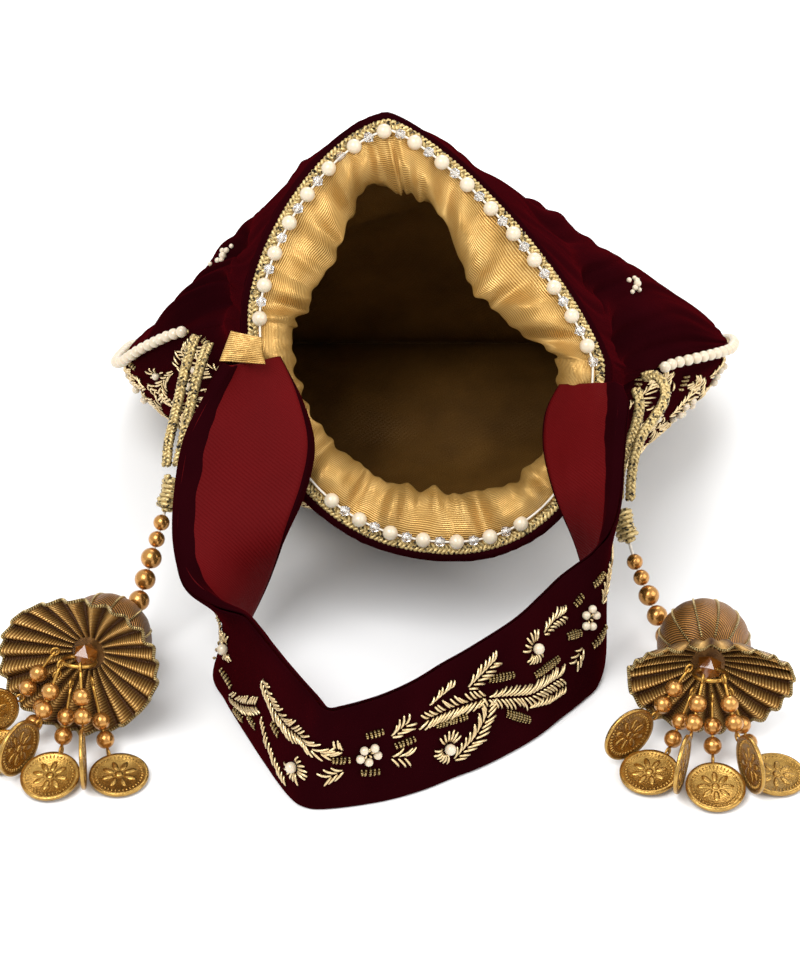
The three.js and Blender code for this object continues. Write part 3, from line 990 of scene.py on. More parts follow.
@dataclass
class Needlework:
    """Raised metal-thread work on one cloth: pipe stitches, coils and pearls.

    Attributes:
        name: First part of the names of its pieces.
        cloth: Gives the point for millimetres along, across and above the cloth.
        pipe: Radius of a pipe stitch.
        arch: Height of a stitch's middle above its ends.
        floor: Lowest height that a stitch may reach.
        seed: Start of the small irregularities of handwork.
    """

    name: str
    cloth: Cloth
    pipe: float = 0.4
    arch: float = 0.5
    floor: float = 0.02
    seed: int = 7

    def __post_init__(self) -> None:
        """Start one piece for each kind of material."""
        self.pipes = Piece(f"{self.name}_pipe_stitches", PIPE, "gold_braid")
        self.coils = Piece(f"{self.name}_bullion_coils", BULLION, "gold_braid")
        self.pearls = Piece(f"{self.name}_sewn_pearls", PEARL, "pearl")
        self.random = Random(self.seed)
        self.sewn: dict[str, list[Stitch]] = {self.pipes.name: [], self.coils.name: []}

    def stitch(self, piece: Piece, a: Spot, b: Spot, radius: float, bow: float = 0.0) -> None:
        """Sew one short tube down from one spot to another.

        Args:
            piece: Piece that takes the tube.
            a: Where it starts, along and across the cloth.
            b: Where it ends.
            radius: Its radius.
            bow: Sideways bend of its middle.
        """
        x, y = (a[0] + b[0]) / 2, (a[1] + b[1]) / 2
        middle = self.cloth(x, y, radius * 0.6)
        up = (self.cloth(x, y, 1.0) - self.cloth(x, y, 0.0)).normalized()
        reach = (self.cloth(*b, radius * 0.6) - self.cloth(*a, radius * 0.6)) / 2
        side = up.cross(reach).normalized()
        self.sewn[piece.name].append(Stitch(middle, reach, side, up, radius, bow))

    def _sew(self, piece: Piece) -> None:
        """Turn the noted stitches of one piece into short tubes, all from one long grid.

        Args:
            piece: Piece that takes the tubes.
        """
        stitches = self.sewn[piece.name]
        if not stitches:
            return
        rings = len(STITCH_RINGS)
        rows = rings * len(stitches) - 1
        made = bmesh.ops.create_grid(piece.mesh, x_segments=6, y_segments=rows, size=0.5)
        corners = made["verts"]
        row_of = {corner: round((corner.co.y + 0.5) * rows) for corner in corners}
        between = [
            face for face in piece.mesh.faces
            if min(row_of[corner] for corner in face.verts) % rings == rings - 1
        ]
        for corner in corners:
            turn = 2 * math.pi * (corner.co.x + 0.5)
            index, ring = divmod(row_of[corner], rings)
            item = stitches[index]
            h, full = STITCH_RINGS[ring]
            wide, tall = full * item.radius * math.cos(turn), full * item.radius * math.sin(turn)
            curve = 1 - h * h
            corner.co = (
                item.middle + item.reach * h
                + item.side * (wide + item.bow * curve) + item.up * (tall + self.arch * curve)
            )
            corner.co.z = max(corner.co.z, self.floor)
        for face in piece.mesh.faces:
            for loop in face.loops:
                index, ring = divmod(row_of[loop.vert], rings)
                run = STITCH_RINGS[ring][0] * stitches[index].reach.length
                loop[piece.uv].uv = (0.0, run * MM)
        bmesh.ops.delete(piece.mesh, geom=between, context="FACES")
        bmesh.ops.remove_doubles(piece.mesh, verts=piece.mesh.verts, dist=1e-4)

    def feather(
        self, stem: Sequence[Spot], length: float = 4.0, sides: Side = Side.BOTH, lean: float = 40.0
    ) -> None:
        """Set pipe stitches like the barbs of a feather along a stem.

        Args:
            stem: Spots that the stem passes through.
            length: Length of a barb in the middle of the stem.
            sides: Sides of the stem that carry barbs.
            lean: Angle between a barb and the stem, in degrees.
        """
        line = even_path([Vector((x, y, 0)) for x, y in stem], 60)
        total = path_length(line)
        count = max(int(total / 1.65), 3)
        for k in range(count):
            i = round(60 * k / count)
            foot = line[i]
            along = (line[min(i + 3, 60)] - line[max(i - 3, 0)]).normalized()
            size = 1.15 * length * (0.66 + 0.34 * math.sin(math.pi * (k + 1) / (count + 1)))
            for sign in sides.value:
                turn = math.radians(lean + self.random.uniform(-7, 7)) * sign
                barb = Matrix.Rotation(turn, 3, "Z") @ along * size * self.random.uniform(0.9, 1.1)
                start = foot + Vector((-along.y, along.x, 0)) * 0.35 * sign
                end = start + barb
                self.stitch(self.pipes, start.xy, end.xy, self.pipe, 0.25 * sign)

    def fan(
        self,
        centre: Spot,
        first: float,
        last: float,
        count: int,
        near: float = 2.0,
        far: float = 5.2,
    ) -> None:
        """Set pipe stitches like petals round a point.

        Args:
            centre: Middle of the flower.
            first: Angle of the first petal stitch in degrees.
            last: Angle of the last one.
            count: Number of stitches.
            near: Distance of their inner ends.
            far: Distance of their outer ends.
        """
        for k in range(count):
            turn = math.radians(mix(first, last, k / max(count - 1, 1)))
            out = Vector((math.cos(turn), math.sin(turn)))
            tip = far * self.random.uniform(0.9, 1.08)
            a, b = Vector(centre) + out * near, Vector(centre) + out * tip
            self.stitch(self.pipes, a, b, self.pipe, 0.3)

    def coil(self, a: Spot, b: Spot, wide: float = 3.2) -> None:
        """Lay short dark bullion coils side by side from one spot to another, darkened by painted
        shade between their turns.

        Args:
            a: Start of the row.
            b: End of the row.
            wide: Length of a coil across the row.
        """
        start, end = Vector(a), Vector(b)
        run = end - start
        count = max(int(run.length / 1.2), 2)
        across = Vector((-run.y, run.x)).normalized()
        for k in range(count + 1):
            spot = start.lerp(end, k / count)
            size = wide * (0.6 + 0.4 * math.sin(math.pi * (k + 0.5) / (count + 1))) / 2
            slant = run.normalized() * self.random.uniform(0.2, 0.9)
            self.stitch(self.coils, spot - across * size, spot + across * size + slant, 0.42)

    def pearl(self, centre: Spot, radius: float = 1.35) -> None:
        """Sew on one pearl."""
        spot = self.cloth(*centre, radius * 0.85)
        spot.z = max(spot.z, radius + self.floor)
        self.pearls.ball(spot, radius, detail=2)

    def flower(self, centre: Spot, petals: int = 5, spread: float = 2.7) -> None:
        """Sew a ring of pearls round one pearl, with short stitches between them."""
        for k in range(petals):
            turn = 2 * math.pi * (k + 0.25) / petals
            self.pearl((centre[0] + spread * math.cos(turn), centre[1] + spread * math.sin(turn)))
        self.fan(centre, 0, 360 - 360 / petals, petals, near=0.6, far=2.2)

    def done(self) -> None:
        """Place the pieces that hold anything."""
        for piece in (self.pipes, self.coils):
            self._sew(piece)
        for piece in (self.pipes, self.coils, self.pearls):
            if piece.mesh.verts:
                piece.finish_piece()


# Pouch


@dataclass
class Bag:
    """Velvet pouch with its lining, gold facing, mouth trim and side piping.

    Attributes:
        form: Shape of the bag.
        velvet: Thickness of the velvet.
        facing_widths: Width of the gold facing round the mouth, evenly spaced from the right.
        facing: Thickness of the facing.
        pearl: Radius of a pearl.
        piping_pearl: Radius of the smaller pearls on the side seams.
        mouth_pitch: Spacing of the mouth pearls.
        lap_corners: Corners of the facing's lap over the left end of the handle.
        base_gap: Height of the velvet above the floor, where the stitches are pressed flat.
        panel_along: Width of a panel from seam to seam, for its embroidery.
        panel_down: Depth of a panel from mouth to bottom, for its embroidery.
    """

    form: BagForm = field(default_factory=BagForm)
    velvet: float = 1.6
    facing_widths: tuple[float, ...] = (
        13, 19, 22, 17, 21, 14, 19, 17, 12, 12, 14, 17, 18, 16, 14, 11,
    )
    facing: float = 1.0
    pearl: float = 2.4
    piping_pearl: float = 1.9
    mouth_pitch: float = 10.5
    lap_corners: tuple[tuple[float, float, float], ...] = (
        (-62, -36.5, 95.5), (-48, -36, 94), (-49, -31.5, 101), (-58.5, -31, 103),
    )
    base_gap: float = 0.5
    panel_along: float = 210.0
    panel_down: float = 170.0

    def build(self) -> None:
        """Make every piece of the pouch."""
        self._panel("back_panel_velvet", "back_panel", 0.0)
        self._panel("front_panel_velvet", "front_panel", math.pi)
        self._lining()
        self._facing()
        self._mouth_trim()
        for name, angle in (("right", 0.0), ("left", math.pi)):
            self._piping(name, angle)
        self._front_embroidery()
        self._back_sprigs()

    def _cloth(self, start: float) -> Cloth:
        """Return the face of one panel, measured along from its seam and down from its mouth.

        Args:
            start: Angle of the seam that the panel starts from.

        Returns:
            A function of millimetres along, down and above the cloth.
        """

        def cloth(along: float, down: float, lift: float) -> Vector:
            """Return a point above the panel."""
            return self.form.point(
                down / self.panel_down, start + math.pi * along / self.panel_along,
                -lift, 1.0, self.base_gap,
            )

        return cloth

    def _front_embroidery(self) -> None:
        """Cover the front panel with staggered sprigs of metal thread and pearls."""
        work = Needlework("front_panel", self._cloth(math.pi), seed=3)
        for row in range(6):
            for column in range(12):
                x = 11 + 17.2 * column + (8.6 if row % 2 else 0)
                y = 62 + 18 * row
                if x > self.panel_along - 7:
                    continue
                way = 1 if (row + column) % 2 else -1
                stem = ((x - 6 * way, y - 7), (x - 2 * way, y - 1), (x + 5 * way, y + 3))
                work.feather(stem, 4.2)
                work.feather(((x - 4 * way, y + 7), (x + way, y + 5), (x + 6 * way, y - 2)), 3.6)
                work.coil((x + 4 * way, y - 7), (x + 8 * way, y - 5), 2.8)
                if column % 3 == row % 3:
                    work.flower((x - 6 * way, y + 1))
                else:
                    work.pearl((x - 6 * way, y + 2), 1.4)
                    work.fan((x - 6 * way, y + 2), 100, 260, 5, near=1.6, far=4.2)
        work.done()

    def _back_sprigs(self) -> None:
        """Scatter small sprigs of pearls over the plain back panel."""
        work = Needlework("back_panel", self._cloth(0.0), seed=5)
        sprigs = ((34, 70, 50), (176, 62, 70), (60, 108, 35), (150, 104, 145), (104, 130, 90))
        for x, y, slant in sprigs:
            away = Vector((math.cos(math.radians(slant)), math.sin(math.radians(slant))))
            for k, size in enumerate((0.8, 1.0, 1.3, 1.0, 0.8)):
                work.pearl(Vector((x, y)) + away * (k - 2) * 2.1, size)
            for sign in (-1, 1):
                work.pearl(Vector((x - away.y * 2 * sign, y + away.x * 2 * sign)), 0.9)
        work.done()

    def _panel(self, name: str, node: str, start: float) -> None:
        """Make one velvet panel.

        Args:
            name: Name of the piece.
            node: Solid that it stands for.
            start: Angle of the seam that it starts from.
        """
        piece = Piece(name, VELVET, "velvet")

        def place(u: float, v: float) -> Vector:
            """Return a point of the panel."""
            return self.form.point(1 - v, start + math.pi * u, 0.0, 1.0, self.base_gap)

        piece.sheet(260, 150, place, (330, 170))
        panel = piece.finish_piece([node], wall=self.velvet, turn_out=False)

    def _lining(self) -> None:
        """Make the inner pouch, which starts behind the facing."""
        piece = Piece("lining_pouch", LINING, "gold_tissue")

        def place(u: float, v: float) -> Vector:
            """Return a point of the slack pouch."""
            s = mix(1.35 / 7, 0.97, v)
            angle = 2 * math.pi * u
            ring = Vector((math.cos(angle), math.sin(angle), 4 * s))
            slack = 2.2 * noise.noise(ring * 2.0) + 0.8 * noise.noise(ring * 5.0)
            spot = self.form.point(s, angle, 5.2 + slack, 0.5, self.base_gap)
            spot.z = mix(spot.z, self.form.read("z", s), ease((v - 0.55) / 0.45))
            return spot

        piece.sheet(200, 70, place, (480, 130), closed=True)
        piece.finish_piece(["bag_lining"], wall=0.6, turn_out=False)
        seam = Piece("lining_bottom_seam", LINING, "gold_tissue")
        seam.tube(even_path([place(0.5 * i / 60, 0.985) for i in range(61)], 90), 1.3, 8)
        seam.finish_piece()

    def facing_point(self, t: float, angle: float) -> Vector:
        """Find a point of the gold facing.

        Args:
            t: Place from the mouth edge, 0, to the inner edge, 1.
            angle: Place round the mouth.

        Returns:
            The point in set-out millimetres.
        """
        rim = self.form.point(0, angle, self.velvet + 2.6, 0)
        centre = Vector((3, -20, 92))
        ring = Vector((math.cos(angle), math.sin(angle), 0))
        around = (angle / (2 * math.pi)) % 1.0 * len(self.facing_widths)
        low = int(around)
        width = mix(
            self.facing_widths[low % len(self.facing_widths)],
            self.facing_widths[(low + 1) % len(self.facing_widths)],
            ease(around - low),
        )
        out = min(t / 0.72, 1.0)
        lip = ease((t - 0.72) / 0.28)
        swell = 0.5 + 0.9 * noise.noise(ring * 3.2) + 0.5 * noise.noise(ring * 7.5)
        pucker = noise.noise(ring * 11 + Vector((0, 0, 1.6 * t)))
        in_by = width * (1 - (1 - out) ** 1.3) - 2.5 * lip + 2.4 * out * pucker
        deep = 7 * out * out + 15 * lip - 8.5 * math.sin(math.pi * out) * max(swell, 0.0)
        crease = 0.35 - abs(noise.noise(ring * 4.6 + Vector((0, 0, 3 + 0.8 * t))))
        deep += out * (4.4 * pucker - 5 * max(crease, -0.2))
        inwards = (centre - rim).normalized()
        return rim + inwards * in_by + self.form.inward * deep

    def _facing(self) -> None:
        """Make the gold facing with its gathered inner edge."""
        piece = Piece("gold_tissue_facing", GOLD_TISSUE, "gold_tissue")
        piece.sheet(
            480, 44, lambda u, v: self.facing_point(v, 2 * math.pi * u), (400, 34), closed=True
        )
        piece.finish_piece(["gold_facing"], wall=self.facing, turn_out=False)
        lap = Piece("gold_tissue_lap", GOLD_TISSUE, "gold_tissue")
        corners = [Vector(p) for p in self.lap_corners]

        def place(u: float, v: float) -> Vector:
            """Return a point of the puffed lap."""
            spot = corners[0].lerp(corners[1], u).lerp(corners[3].lerp(corners[2], u), v)
            puff = 2.2 * math.sin(math.pi * u) * math.sin(math.pi * v)
            return spot - self.form.inward * (puff + 0.6 * noise.noise(Vector((5 * u, 5 * v, 0))))

        lap.sheet(20, 20, place, (16, 12))
        lap.finish_piece(wall=0.8, turn_out=False)

    def _loop(self, inset: float, forward: float) -> list[Vector]:
        """Return a closed line round the mouth edge.

        Args:
            inset: Distance in from the velvet's face.
            forward: Distance out of the mouth.

        Returns:
            Points in set-out millimetres.
        """
        push = self.form.inward * -forward
        steps = 240
        return [self.form.point(0, 2 * math.pi * i / steps, inset, 0) + push for i in range(steps)]

    @staticmethod
    def under_handle(point: Vector) -> bool:
        """Return true where the handle covers the mouth edge."""
        return (point.x < -30 and point.z < 97) or (point.x > 34 and point.z < 88)

    def _mouth_trim(self) -> None:
        """Make the braid on the mouth edge, and its pearls, crystals and thread."""
        roll = Piece("mouth_velvet_roll", VELVET, "velvet")
        roll.tube(even_path(self._loop(1.7, 0.2), 400, looped=True), 1.7, 10, looped=True)
        roll.finish_piece()
        braid = Piece("mouth_braid_plait", BRAID, "gold_braid")
        edge = even_path(self._loop(3.9, 1.3), 900, looped=True)
        plait(braid, edge, 1.25, 0.4, 0.62, 4.2, self.form.inward, looped=True)
        braid.finish_piece(["mouth_braid"])

        loop = self._loop(self.velvet + 4.6, 3.6)
        count = round(path_length([*loop, loop[0]]) / self.mouth_pitch)
        spots = even_path(loop, 2 * count, looped=True)
        pearls = Piece("mouth_pearls", PEARL, "pearl")
        crystals = Piece("mouth_crystals", CRYSTAL, "pearl")
        for i, spot in enumerate(spots[:-1]):
            if self.under_handle(spot):
                continue
            if i % 2:
                pearls.ball(spot, self.pearl)
            else:
                crystals.ball(spot, 1.9, detail=1)
        pearls.finish_piece(["mouth_pearl_string"])
        crystals.finish_piece(flat=True)
        thread = Piece("mouth_pearl_thread", THREAD, "pearl")
        thread.tube(even_path(loop, 300, looped=True), 0.35, 5, looped=True)
        thread.finish_piece()

    def _piping(self, hand: str, angle: float) -> None:
        """Make the pearl piping of one side seam on its thin braid.

        Args:
            hand: "left" or "right".
            angle: Angle of the seam.
        """
        steps = 80
        places = [mix(2.5 / 7, 0.97, i / steps) for i in range(steps + 1)]
        size = self.piping_pearl
        line = [self.form.point(s, angle, -size - 0.4, 1.0, self.base_gap) for s in places]
        count = int(path_length(line) / (2.15 * size))
        pearls = Piece(f"{hand}_piping_pearls", PEARL, "pearl")
        for spot in even_path(line, count):
            pearls.ball(spot, size)
        pearls.finish_piece([f"{hand}_seam_pearls"])
        seam = [self.form.point(s, angle, -0.3, 1.0, self.base_gap) for s in places]
        braid = Piece(f"{hand}_piping_braid", BRAID, "gold_braid")
        plait(braid, even_path(seam, 240), 1.0, 0.35, 0.5, 3.2)
        braid.finish_piece()


# Handle


@dataclass
class Handle:
    """Flat loop of velvet, backed with satin, sewn into the mouth at both ends.

    Attributes:
        upper: Upper edge from the left sewn end round to the right one.
        lower: Lower edge, point for point.
        velvet: Thickness of the velvet.
        gap: Space between the velvet and its backing.
        width: Width of the band.
    """

    upper: tuple[tuple[float, float, float], ...] = (
        (-60.5, -37, 95), (-67.5, -39.5, 83), (-73.5, -45, 72), (-76.5, -53.5, 57.5),
        (-76.5, -64, 46), (-72, -78.5, 42), (-62.5, -88.5, 42), (-53.5, -92.5, 41.5),
        (-49, -98.5, 41), (-45.5, -104, 40), (-38.5, -116.5, 40), (-31.5, -128, 40),
        (-27.5, -134.5, 40), (-22.5, -133, 39.5), (-12.5, -128.5, 39.5), (-3, -122, 39.5),
        (5.5, -114, 39.5), (14, -106.5, 39.5), (27.5, -93, 39.5), (36.5, -80.5, 39.5),
        (42, -73.5, 40.5), (47, -70, 42.5), (52.5, -69, 47), (56.5, -70, 55),
        (59, -68.5, 64.5), (60.5, -61.5, 75), (61.5, -53.5, 82.5), (62.5, -46, 86.5),
        (61.5, -38.5, 88),
    )
    lower: tuple[tuple[float, float, float], ...] = (
        (-44, -25.5, 89.2), (-37.5, -35, 83), (-33, -46, 72.5), (-35, -54.5, 62),
        (-41, -62, 49), (-48, -60, 29), (-56.5, -64, 13), (-64, -72.5, 2),
        (-60, -83, 0), (-54.5, -95.5, 0), (-46.5, -112.5, 0), (-39.5, -126, 0),
        (-34.5, -131.5, 0), (-27, -132, 0), (-12.5, -129, 0), (-1, -124.5, 0),
        (8.5, -119, 0), (19, -113, 0), (33, -102, 0), (43, -91, 0),
        (49.5, -83.5, 0), (54.5, -76.5, 0.5), (57, -67, 5), (55.5, -58, 18),
        (50, -54, 35), (42, -55.5, 56), (38.5, -41, 64), (39, -31.5, 72),
        (43.5, -26, 79.5),
    )
    velvet: float = 1.6
    gap: float = 0.6
    width: float = 40.0

    def __post_init__(self) -> None:
        """Measure the band along its middle, so that lengths can be turned into places."""
        steps = 400
        self.marks = [0.0]
        middle = [self.point(i / steps, 0.5, 0.0) for i in range(steps + 1)]
        for a, b in zip(middle, middle[1:]):
            self.marks.append(self.marks[-1] + (b - a).length)
        self.length = self.marks[-1]

    def place_at(self, run: float) -> float:
        """Return the place, 0 to 1, that lies a length along the band's middle."""
        low, high = 0, len(self.marks) - 1
        while high - low > 1:
            half = (low + high) // 2
            low, high = (half, high) if self.marks[half] <= run else (low, half)
        span = self.marks[high] - self.marks[low]
        return (low + (run - self.marks[low]) / span) / (len(self.marks) - 1)

    def point(self, t: float, across: float, lift: float) -> Vector:
        """Find a point on or above the band.

        Args:
            t: Place along the band, 0 to 1.
            across: Place across it: 0 the upper edge, 1 the lower edge.
            lift: Height above its middle layer, positive on the satin side.

        Returns:
            The point in set-out millimetres.
        """
        step = 0.004

        def at(time: float) -> Vector:
            """Return the point at the same place across, further along."""
            return catmull(self.upper, time).lerp(catmull(self.lower, time), across)

        along = at(min(t + step, 1.0)) - at(max(t - step, 0.0))
        wide = catmull(self.lower, t) - catmull(self.upper, t)
        spot = at(t) + along.cross(wide).normalized() * lift
        spot.z = max(spot.z, 0.0)
        return spot

    def build(self) -> None:
        """Make the band, its backing, its hems and its stitching."""
        self._band()
        self._backing()
        self._hems()
        self._stitches()
        self._embroidery()

    def _band(self) -> None:
        """Make the velvet band as a closed strip with rounded edges."""
        piece = Piece("handle_velvet_band", VELVET, "velvet")
        thick = self.velvet / 2
        middle = -self.gap - thick

        def place(u: float, v: float) -> Vector:
            """Return a point of the rounded band."""
            turn = 2 * math.pi * u
            across = 0.5 - 0.5 * signed_power(math.cos(turn), 0.35)
            lift = middle + thick * signed_power(math.sin(turn), 0.7)
            return self.point(v, across, lift)

        corners = piece.sheet(48, 260, place, (2 * self.width, self.length), closed=True)
        edges = {e for v in corners for e in v.link_edges if e.is_boundary}
        bmesh.ops.holes_fill(piece.mesh, edges=list(edges), sides=0)
        piece.finish_piece(["handle_velvet"])

    def _backing(self) -> None:
        """Make the satin backing."""
        piece = Piece("handle_satin_backing", SATIN, "satin")

        def place(u: float, v: float) -> Vector:
            """Return a point of the backing."""
            wave = 0.25 * noise.noise(Vector((6 * u, 30 * v, 0)))
            return self.point(v, mix(0.05, 0.95, u), self.gap + 0.5 + wave)

        piece.sheet(24, 260, place, (0.9 * self.width, self.length))
        piece.finish_piece(["handle_satin"], wall=0.8, turn_out=False)

    def _hems(self) -> None:
        """Fold the velvet over the backing along both edges, wider along the upper one."""
        piece = Piece("handle_velvet_hems", VELVET, "velvet")
        for edge, reach in ((0.0, 0.2), (1.0, -0.09)):

            def place(u: float, v: float, edge: float = edge, reach: float = reach) -> Vector:
                """Return a point of the folded hem."""
                ragged = 1 + 0.12 * noise.noise(Vector((60 * v, edge, 1))) * u
                across = edge + reach * ragged * u
                lift = mix(-self.gap, self.gap + 1.1, ease(3 * u)) - 0.5 * ease((u - 0.8) / 0.2)
                return self.point(v, across, lift)

            piece.sheet(12, 260, place, (8, self.length))
        piece.finish_piece(wall=0.5, turn_out=False)

    def _stitches(self) -> None:
        """Sew a line of stitches near each edge of the backing."""
        piece = Piece("handle_stitching", SATIN, "satin")
        pitch = 3.2
        for across in (0.27, 0.87):
            for i in range(int(self.length / pitch) - 2):
                start = self.place_at((i + 1) * pitch)
                end = self.place_at((i + 1.65) * pitch)
                line = [
                    self.point(mix(start, end, k / 3), across, self.gap + 0.62) for k in range(4)
                ]
                piece.tube(line, 0.24, 4)
        piece.finish_piece()


    def _embroidery(self) -> None:
        """Work a vine of feathers, coils and pearl flowers over the outer face."""
        outer = self.gap + self.velvet

        def cloth(run: float, across: float, lift: float) -> Vector:
            """Return a point above the outer face."""
            return self.point(self.place_at(run), across / self.width, -outer - lift)

        work = Needlework("handle", cloth)
        feathers = (
            (((86, 22), (79, 14)), 4.0, Side.BOTH),
            (((100, 34), (107, 30), (115, 23)), 4.2, Side.BOTH),
            (((114, 12), (123, 16), (132, 17), (141, 15), (149, 16)), 4.6, Side.BOTH),
            (((119, 24), (124, 28), (130, 31), (139, 34)), 4.0, Side.LEFT),
            (((168, 15), (174, 12)), 4.2, Side.BOTH), (((168, 23), (174, 25)), 4.2, Side.BOTH),
            (((153, 16), (149, 14)), 3.6, Side.BOTH), (((154, 24), (149, 26)), 3.8, Side.BOTH),
            (((189, 33), (196, 29), (201, 24), (203, 19)), 4.6, Side.BOTH),
            (((202, 17), (197, 16), (188, 15), (179, 14)), 4.6, Side.BOTH),
            (((181, 10), (186, 9), (191, 8)), 3.4, Side.RIGHT),
            (((196, 11), (202, 9), (208, 7)), 4.4, Side.BOTH),
            (((203, 18), (210, 21), (219, 25), (235, 27)), 5.0, Side.BOTH),
            (((218, 29), (226, 32), (235, 33)), 3.2, Side.RIGHT),
            (((229, 10), (234, 9), (241, 10)), 3.6, Side.BOTH),
            (((246, 24), (241, 27)), 3.6, Side.BOTH),
            (((258, 18), (266, 15), (275, 17)), 4.4, Side.BOTH),
        )
        for stem, length, sides in feathers:
            work.feather(stem, length, sides)
        coils = (
            ((82, 30), (87, 33)), ((92, 29), (99, 30)), ((104, 36), (109, 35)),
            ((112, 31), (116, 31)), ((125, 22), (129, 23)), ((150, 19), (155, 20)),
            ((160, 12), (165, 12)), ((159, 26), (164, 27)), ((169, 19), (175, 19)),
            ((183, 18), (194, 20)), ((204, 12), (213, 15)), ((222, 20), (234, 21)),
            ((209, 26), (217, 32)), ((246, 10), (250, 9)), ((240, 17), (246, 19)),
            ((250, 26), (258, 28)), ((256, 9), (262, 10)),
        )
        for start, end in coils:
            work.coil(start, end)
        for centre, first in (((90, 19), 20), ((141, 27), -80), ((187, 28), 100), ((224, 12), 60)):
            work.pearl(centre, 1.8)
            work.fan(centre, first, first + 95, 6)
            work.fan(centre, first + 140, first + 235, 6, far=6.0)
        for centre in ((161, 19), (251, 17)):
            work.flower(centre)
        for end in (12, 278):
            for k in range(2 if end > 100 else 3):
                at = end + 22 * k
                work.feather(((at, 14), (at + 7, 17), (at + 14, 15)), 4.4)
                work.feather(((at + 4, 28), (at + 10, 25), (at + 16, 27)), 4.0)
                work.coil((at + 1, 21), (at + 7, 22))
                work.pearl((at + 15, 21), 1.7)
                work.fan((at + 15, 21), -60, 60, 5)
        work.done()


# Drawstrings and tassels


@dataclass
class Drawstrings:
    """Braided strands that leave the neck on each side and meet in a wrapped knot.

    Attributes:
        routes: Points of each strand from its exit to its knot.
        width: Diameter of a strand; not used.
    """

    routes: dict[str, tuple[tuple[float, float, float], ...]] = field(
        default_factory=lambda: {
            "left_drawstring_a": (
                (-68, -1, 80), (-70, -8, 77), (-71.5, -13, 73.5), (-73, -18, 68.5),
                (-74.5, -23, 63.5), (-76, -27, 57.5), (-77.5, -30.2, 52.2),
            ),
            "left_drawstring_b": (
                (-72.5, 3, 80), (-74.5, -4, 76.5), (-76, -9, 72), (-77.5, -14, 66.5),
                (-79, -19, 61.5), (-80.5, -24.2, 56.5), (-81, -28.7, 51.2),
            ),
            "right_drawstring_a": (
                (72.5, 1.4, 65.2), (76, 0, 67), (79, -4, 65.5), (78.5, -9, 62.5), (75, -14, 59.5),
                (71, -19, 56), (68.5, -24, 51), (67.5, -28, 45), (67.3, -31, 39.5),
            ),
            "right_drawstring_b": (
                (69.5, -6, 65.5), (70.5, -11, 63), (69.5, -15, 59), (67.5, -19, 54.5),
                (65, -23, 49.5), (63.8, -27, 44.5), (63.6, -31, 39.5),
            ),
        }
    )
    width: float = 3.2

    def build(self) -> None:
        """Make each strand."""
        for name, points in self.routes.items():
            fine = [catmull(points, i / 200) for i in range(201)]
            path = even_path(fine, 90)
            piece = Piece(f"{name}_braid", BRAID, "gold_braid")
            plait(piece, path, 1.05, 0.5, 0.78, 4.2, Vector((0, -0.8, 0.6)))
            strand = piece.finish_piece([name])
            route = [metres(p) for p in even_path(fine, 30)]
            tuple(route[0])
            path_length(route)
        for name, s in (("left_channel_cord", 1.5 / 7), ("right_channel_cord", 1.95 / 7)):
            self._channel(name, s)

    def _channel(self, name: str, s: float) -> None:
        """Make the turn of one drawstring inside the neck.

        Args:
            name: Solid that it stands for.
            s: Place of the channel along the bag.
        """
        form = BagForm()
        ring = [form.point(s, 2 * math.pi * i / 120, 5.4, 0) for i in range(120)]
        piece = Piece(f"{name}_braid", BRAID, "gold_braid")
        path = even_path(ring, 500, looped=True)
        plait(piece, path, 0.8, 0.4, 0.55, 4.0, form.inward, looped=True)
        piece.finish_piece([name])


def turned(
    piece: Piece, profile: Sequence[tuple[float, float]], shape: Matrix, steps: int = 48
) -> None:
    """Spin a profile round its axis.

    Args:
        piece: Piece that takes the shape.
        profile: Radius and height of each point, along the axis from the bottom up.
        shape: Places the axis, which is +Z when made.
        steps: Faces round the axis.
    """
    mesh = piece.mesh
    corners = [mesh.verts.new((r, 0.0, h)) for r, h in profile]
    edges = [mesh.edges.new(pair) for pair in zip(corners, corners[1:])]
    bmesh.ops.spin(
        mesh, geom=corners + edges, cent=(0, 0, 0), axis=(0, 0, 1),
        angle=2 * math.pi, steps=steps, use_merge=True,
    )
    whole = {v for c in corners if c.is_valid for v in _joined(c)}
    bmesh.ops.remove_doubles(mesh, verts=list(whole), dist=1e-4)
    whole = [v for v in whole if v.is_valid]
    bmesh.ops.transform(mesh, matrix=shape, verts=whole)


def _joined(corner: bmesh.types.BMVert) -> set[bmesh.types.BMVert]:
    """Return every corner that edges join to this one."""
    found, queue = {corner}, [corner]
    while queue:
        for edge in queue.pop().link_edges:
            for other in edge.verts:
                if other not in found:
                    found.add(other)
                    queue.append(other)
    return found


def aimed(direction: Vector, place: Vector, roll_to: Vector | None = None) -> Matrix:
    """Return a matrix that turns +Z to a direction and moves the origin to a place.

    Args:
        direction: Where +Z goes.
        place: Where the origin goes.
        roll_to: Direction that +X turns towards, or none for any.

    Returns:
        The matrix.
    """
    turn = direction.to_track_quat("Z", "Y")
    if roll_to is not None:
        z = direction.normalized()
        x = (roll_to - z * roll_to.dot(z)).normalized()
        basis = Matrix((x, z.cross(x), z)).transposed()
        turn = basis.to_quaternion()
    return Matrix.Translation(place) @ turn.to_matrix().to_4x4()


@dataclass(frozen=True)
class Coin:
    """How one coin of the fan lies.

    Attributes:
        upright: True for a coin on its edge, false for one that lies flat.
        rise: Height of its middle.
        slope: Downward slope from its eye.
    """

    upright: bool
    rise: float
    slope: float


COINS = (
    Coin(True, 9.9, 0.3),
    Coin(False, 2.4, 0.12),
    Coin(True, 9.9, 0.3),
    Coin(False, 3.0, 0.2),
    Coin(True, 9.9, 0.3),
    Coin(False, 1.6, 0.05),
)


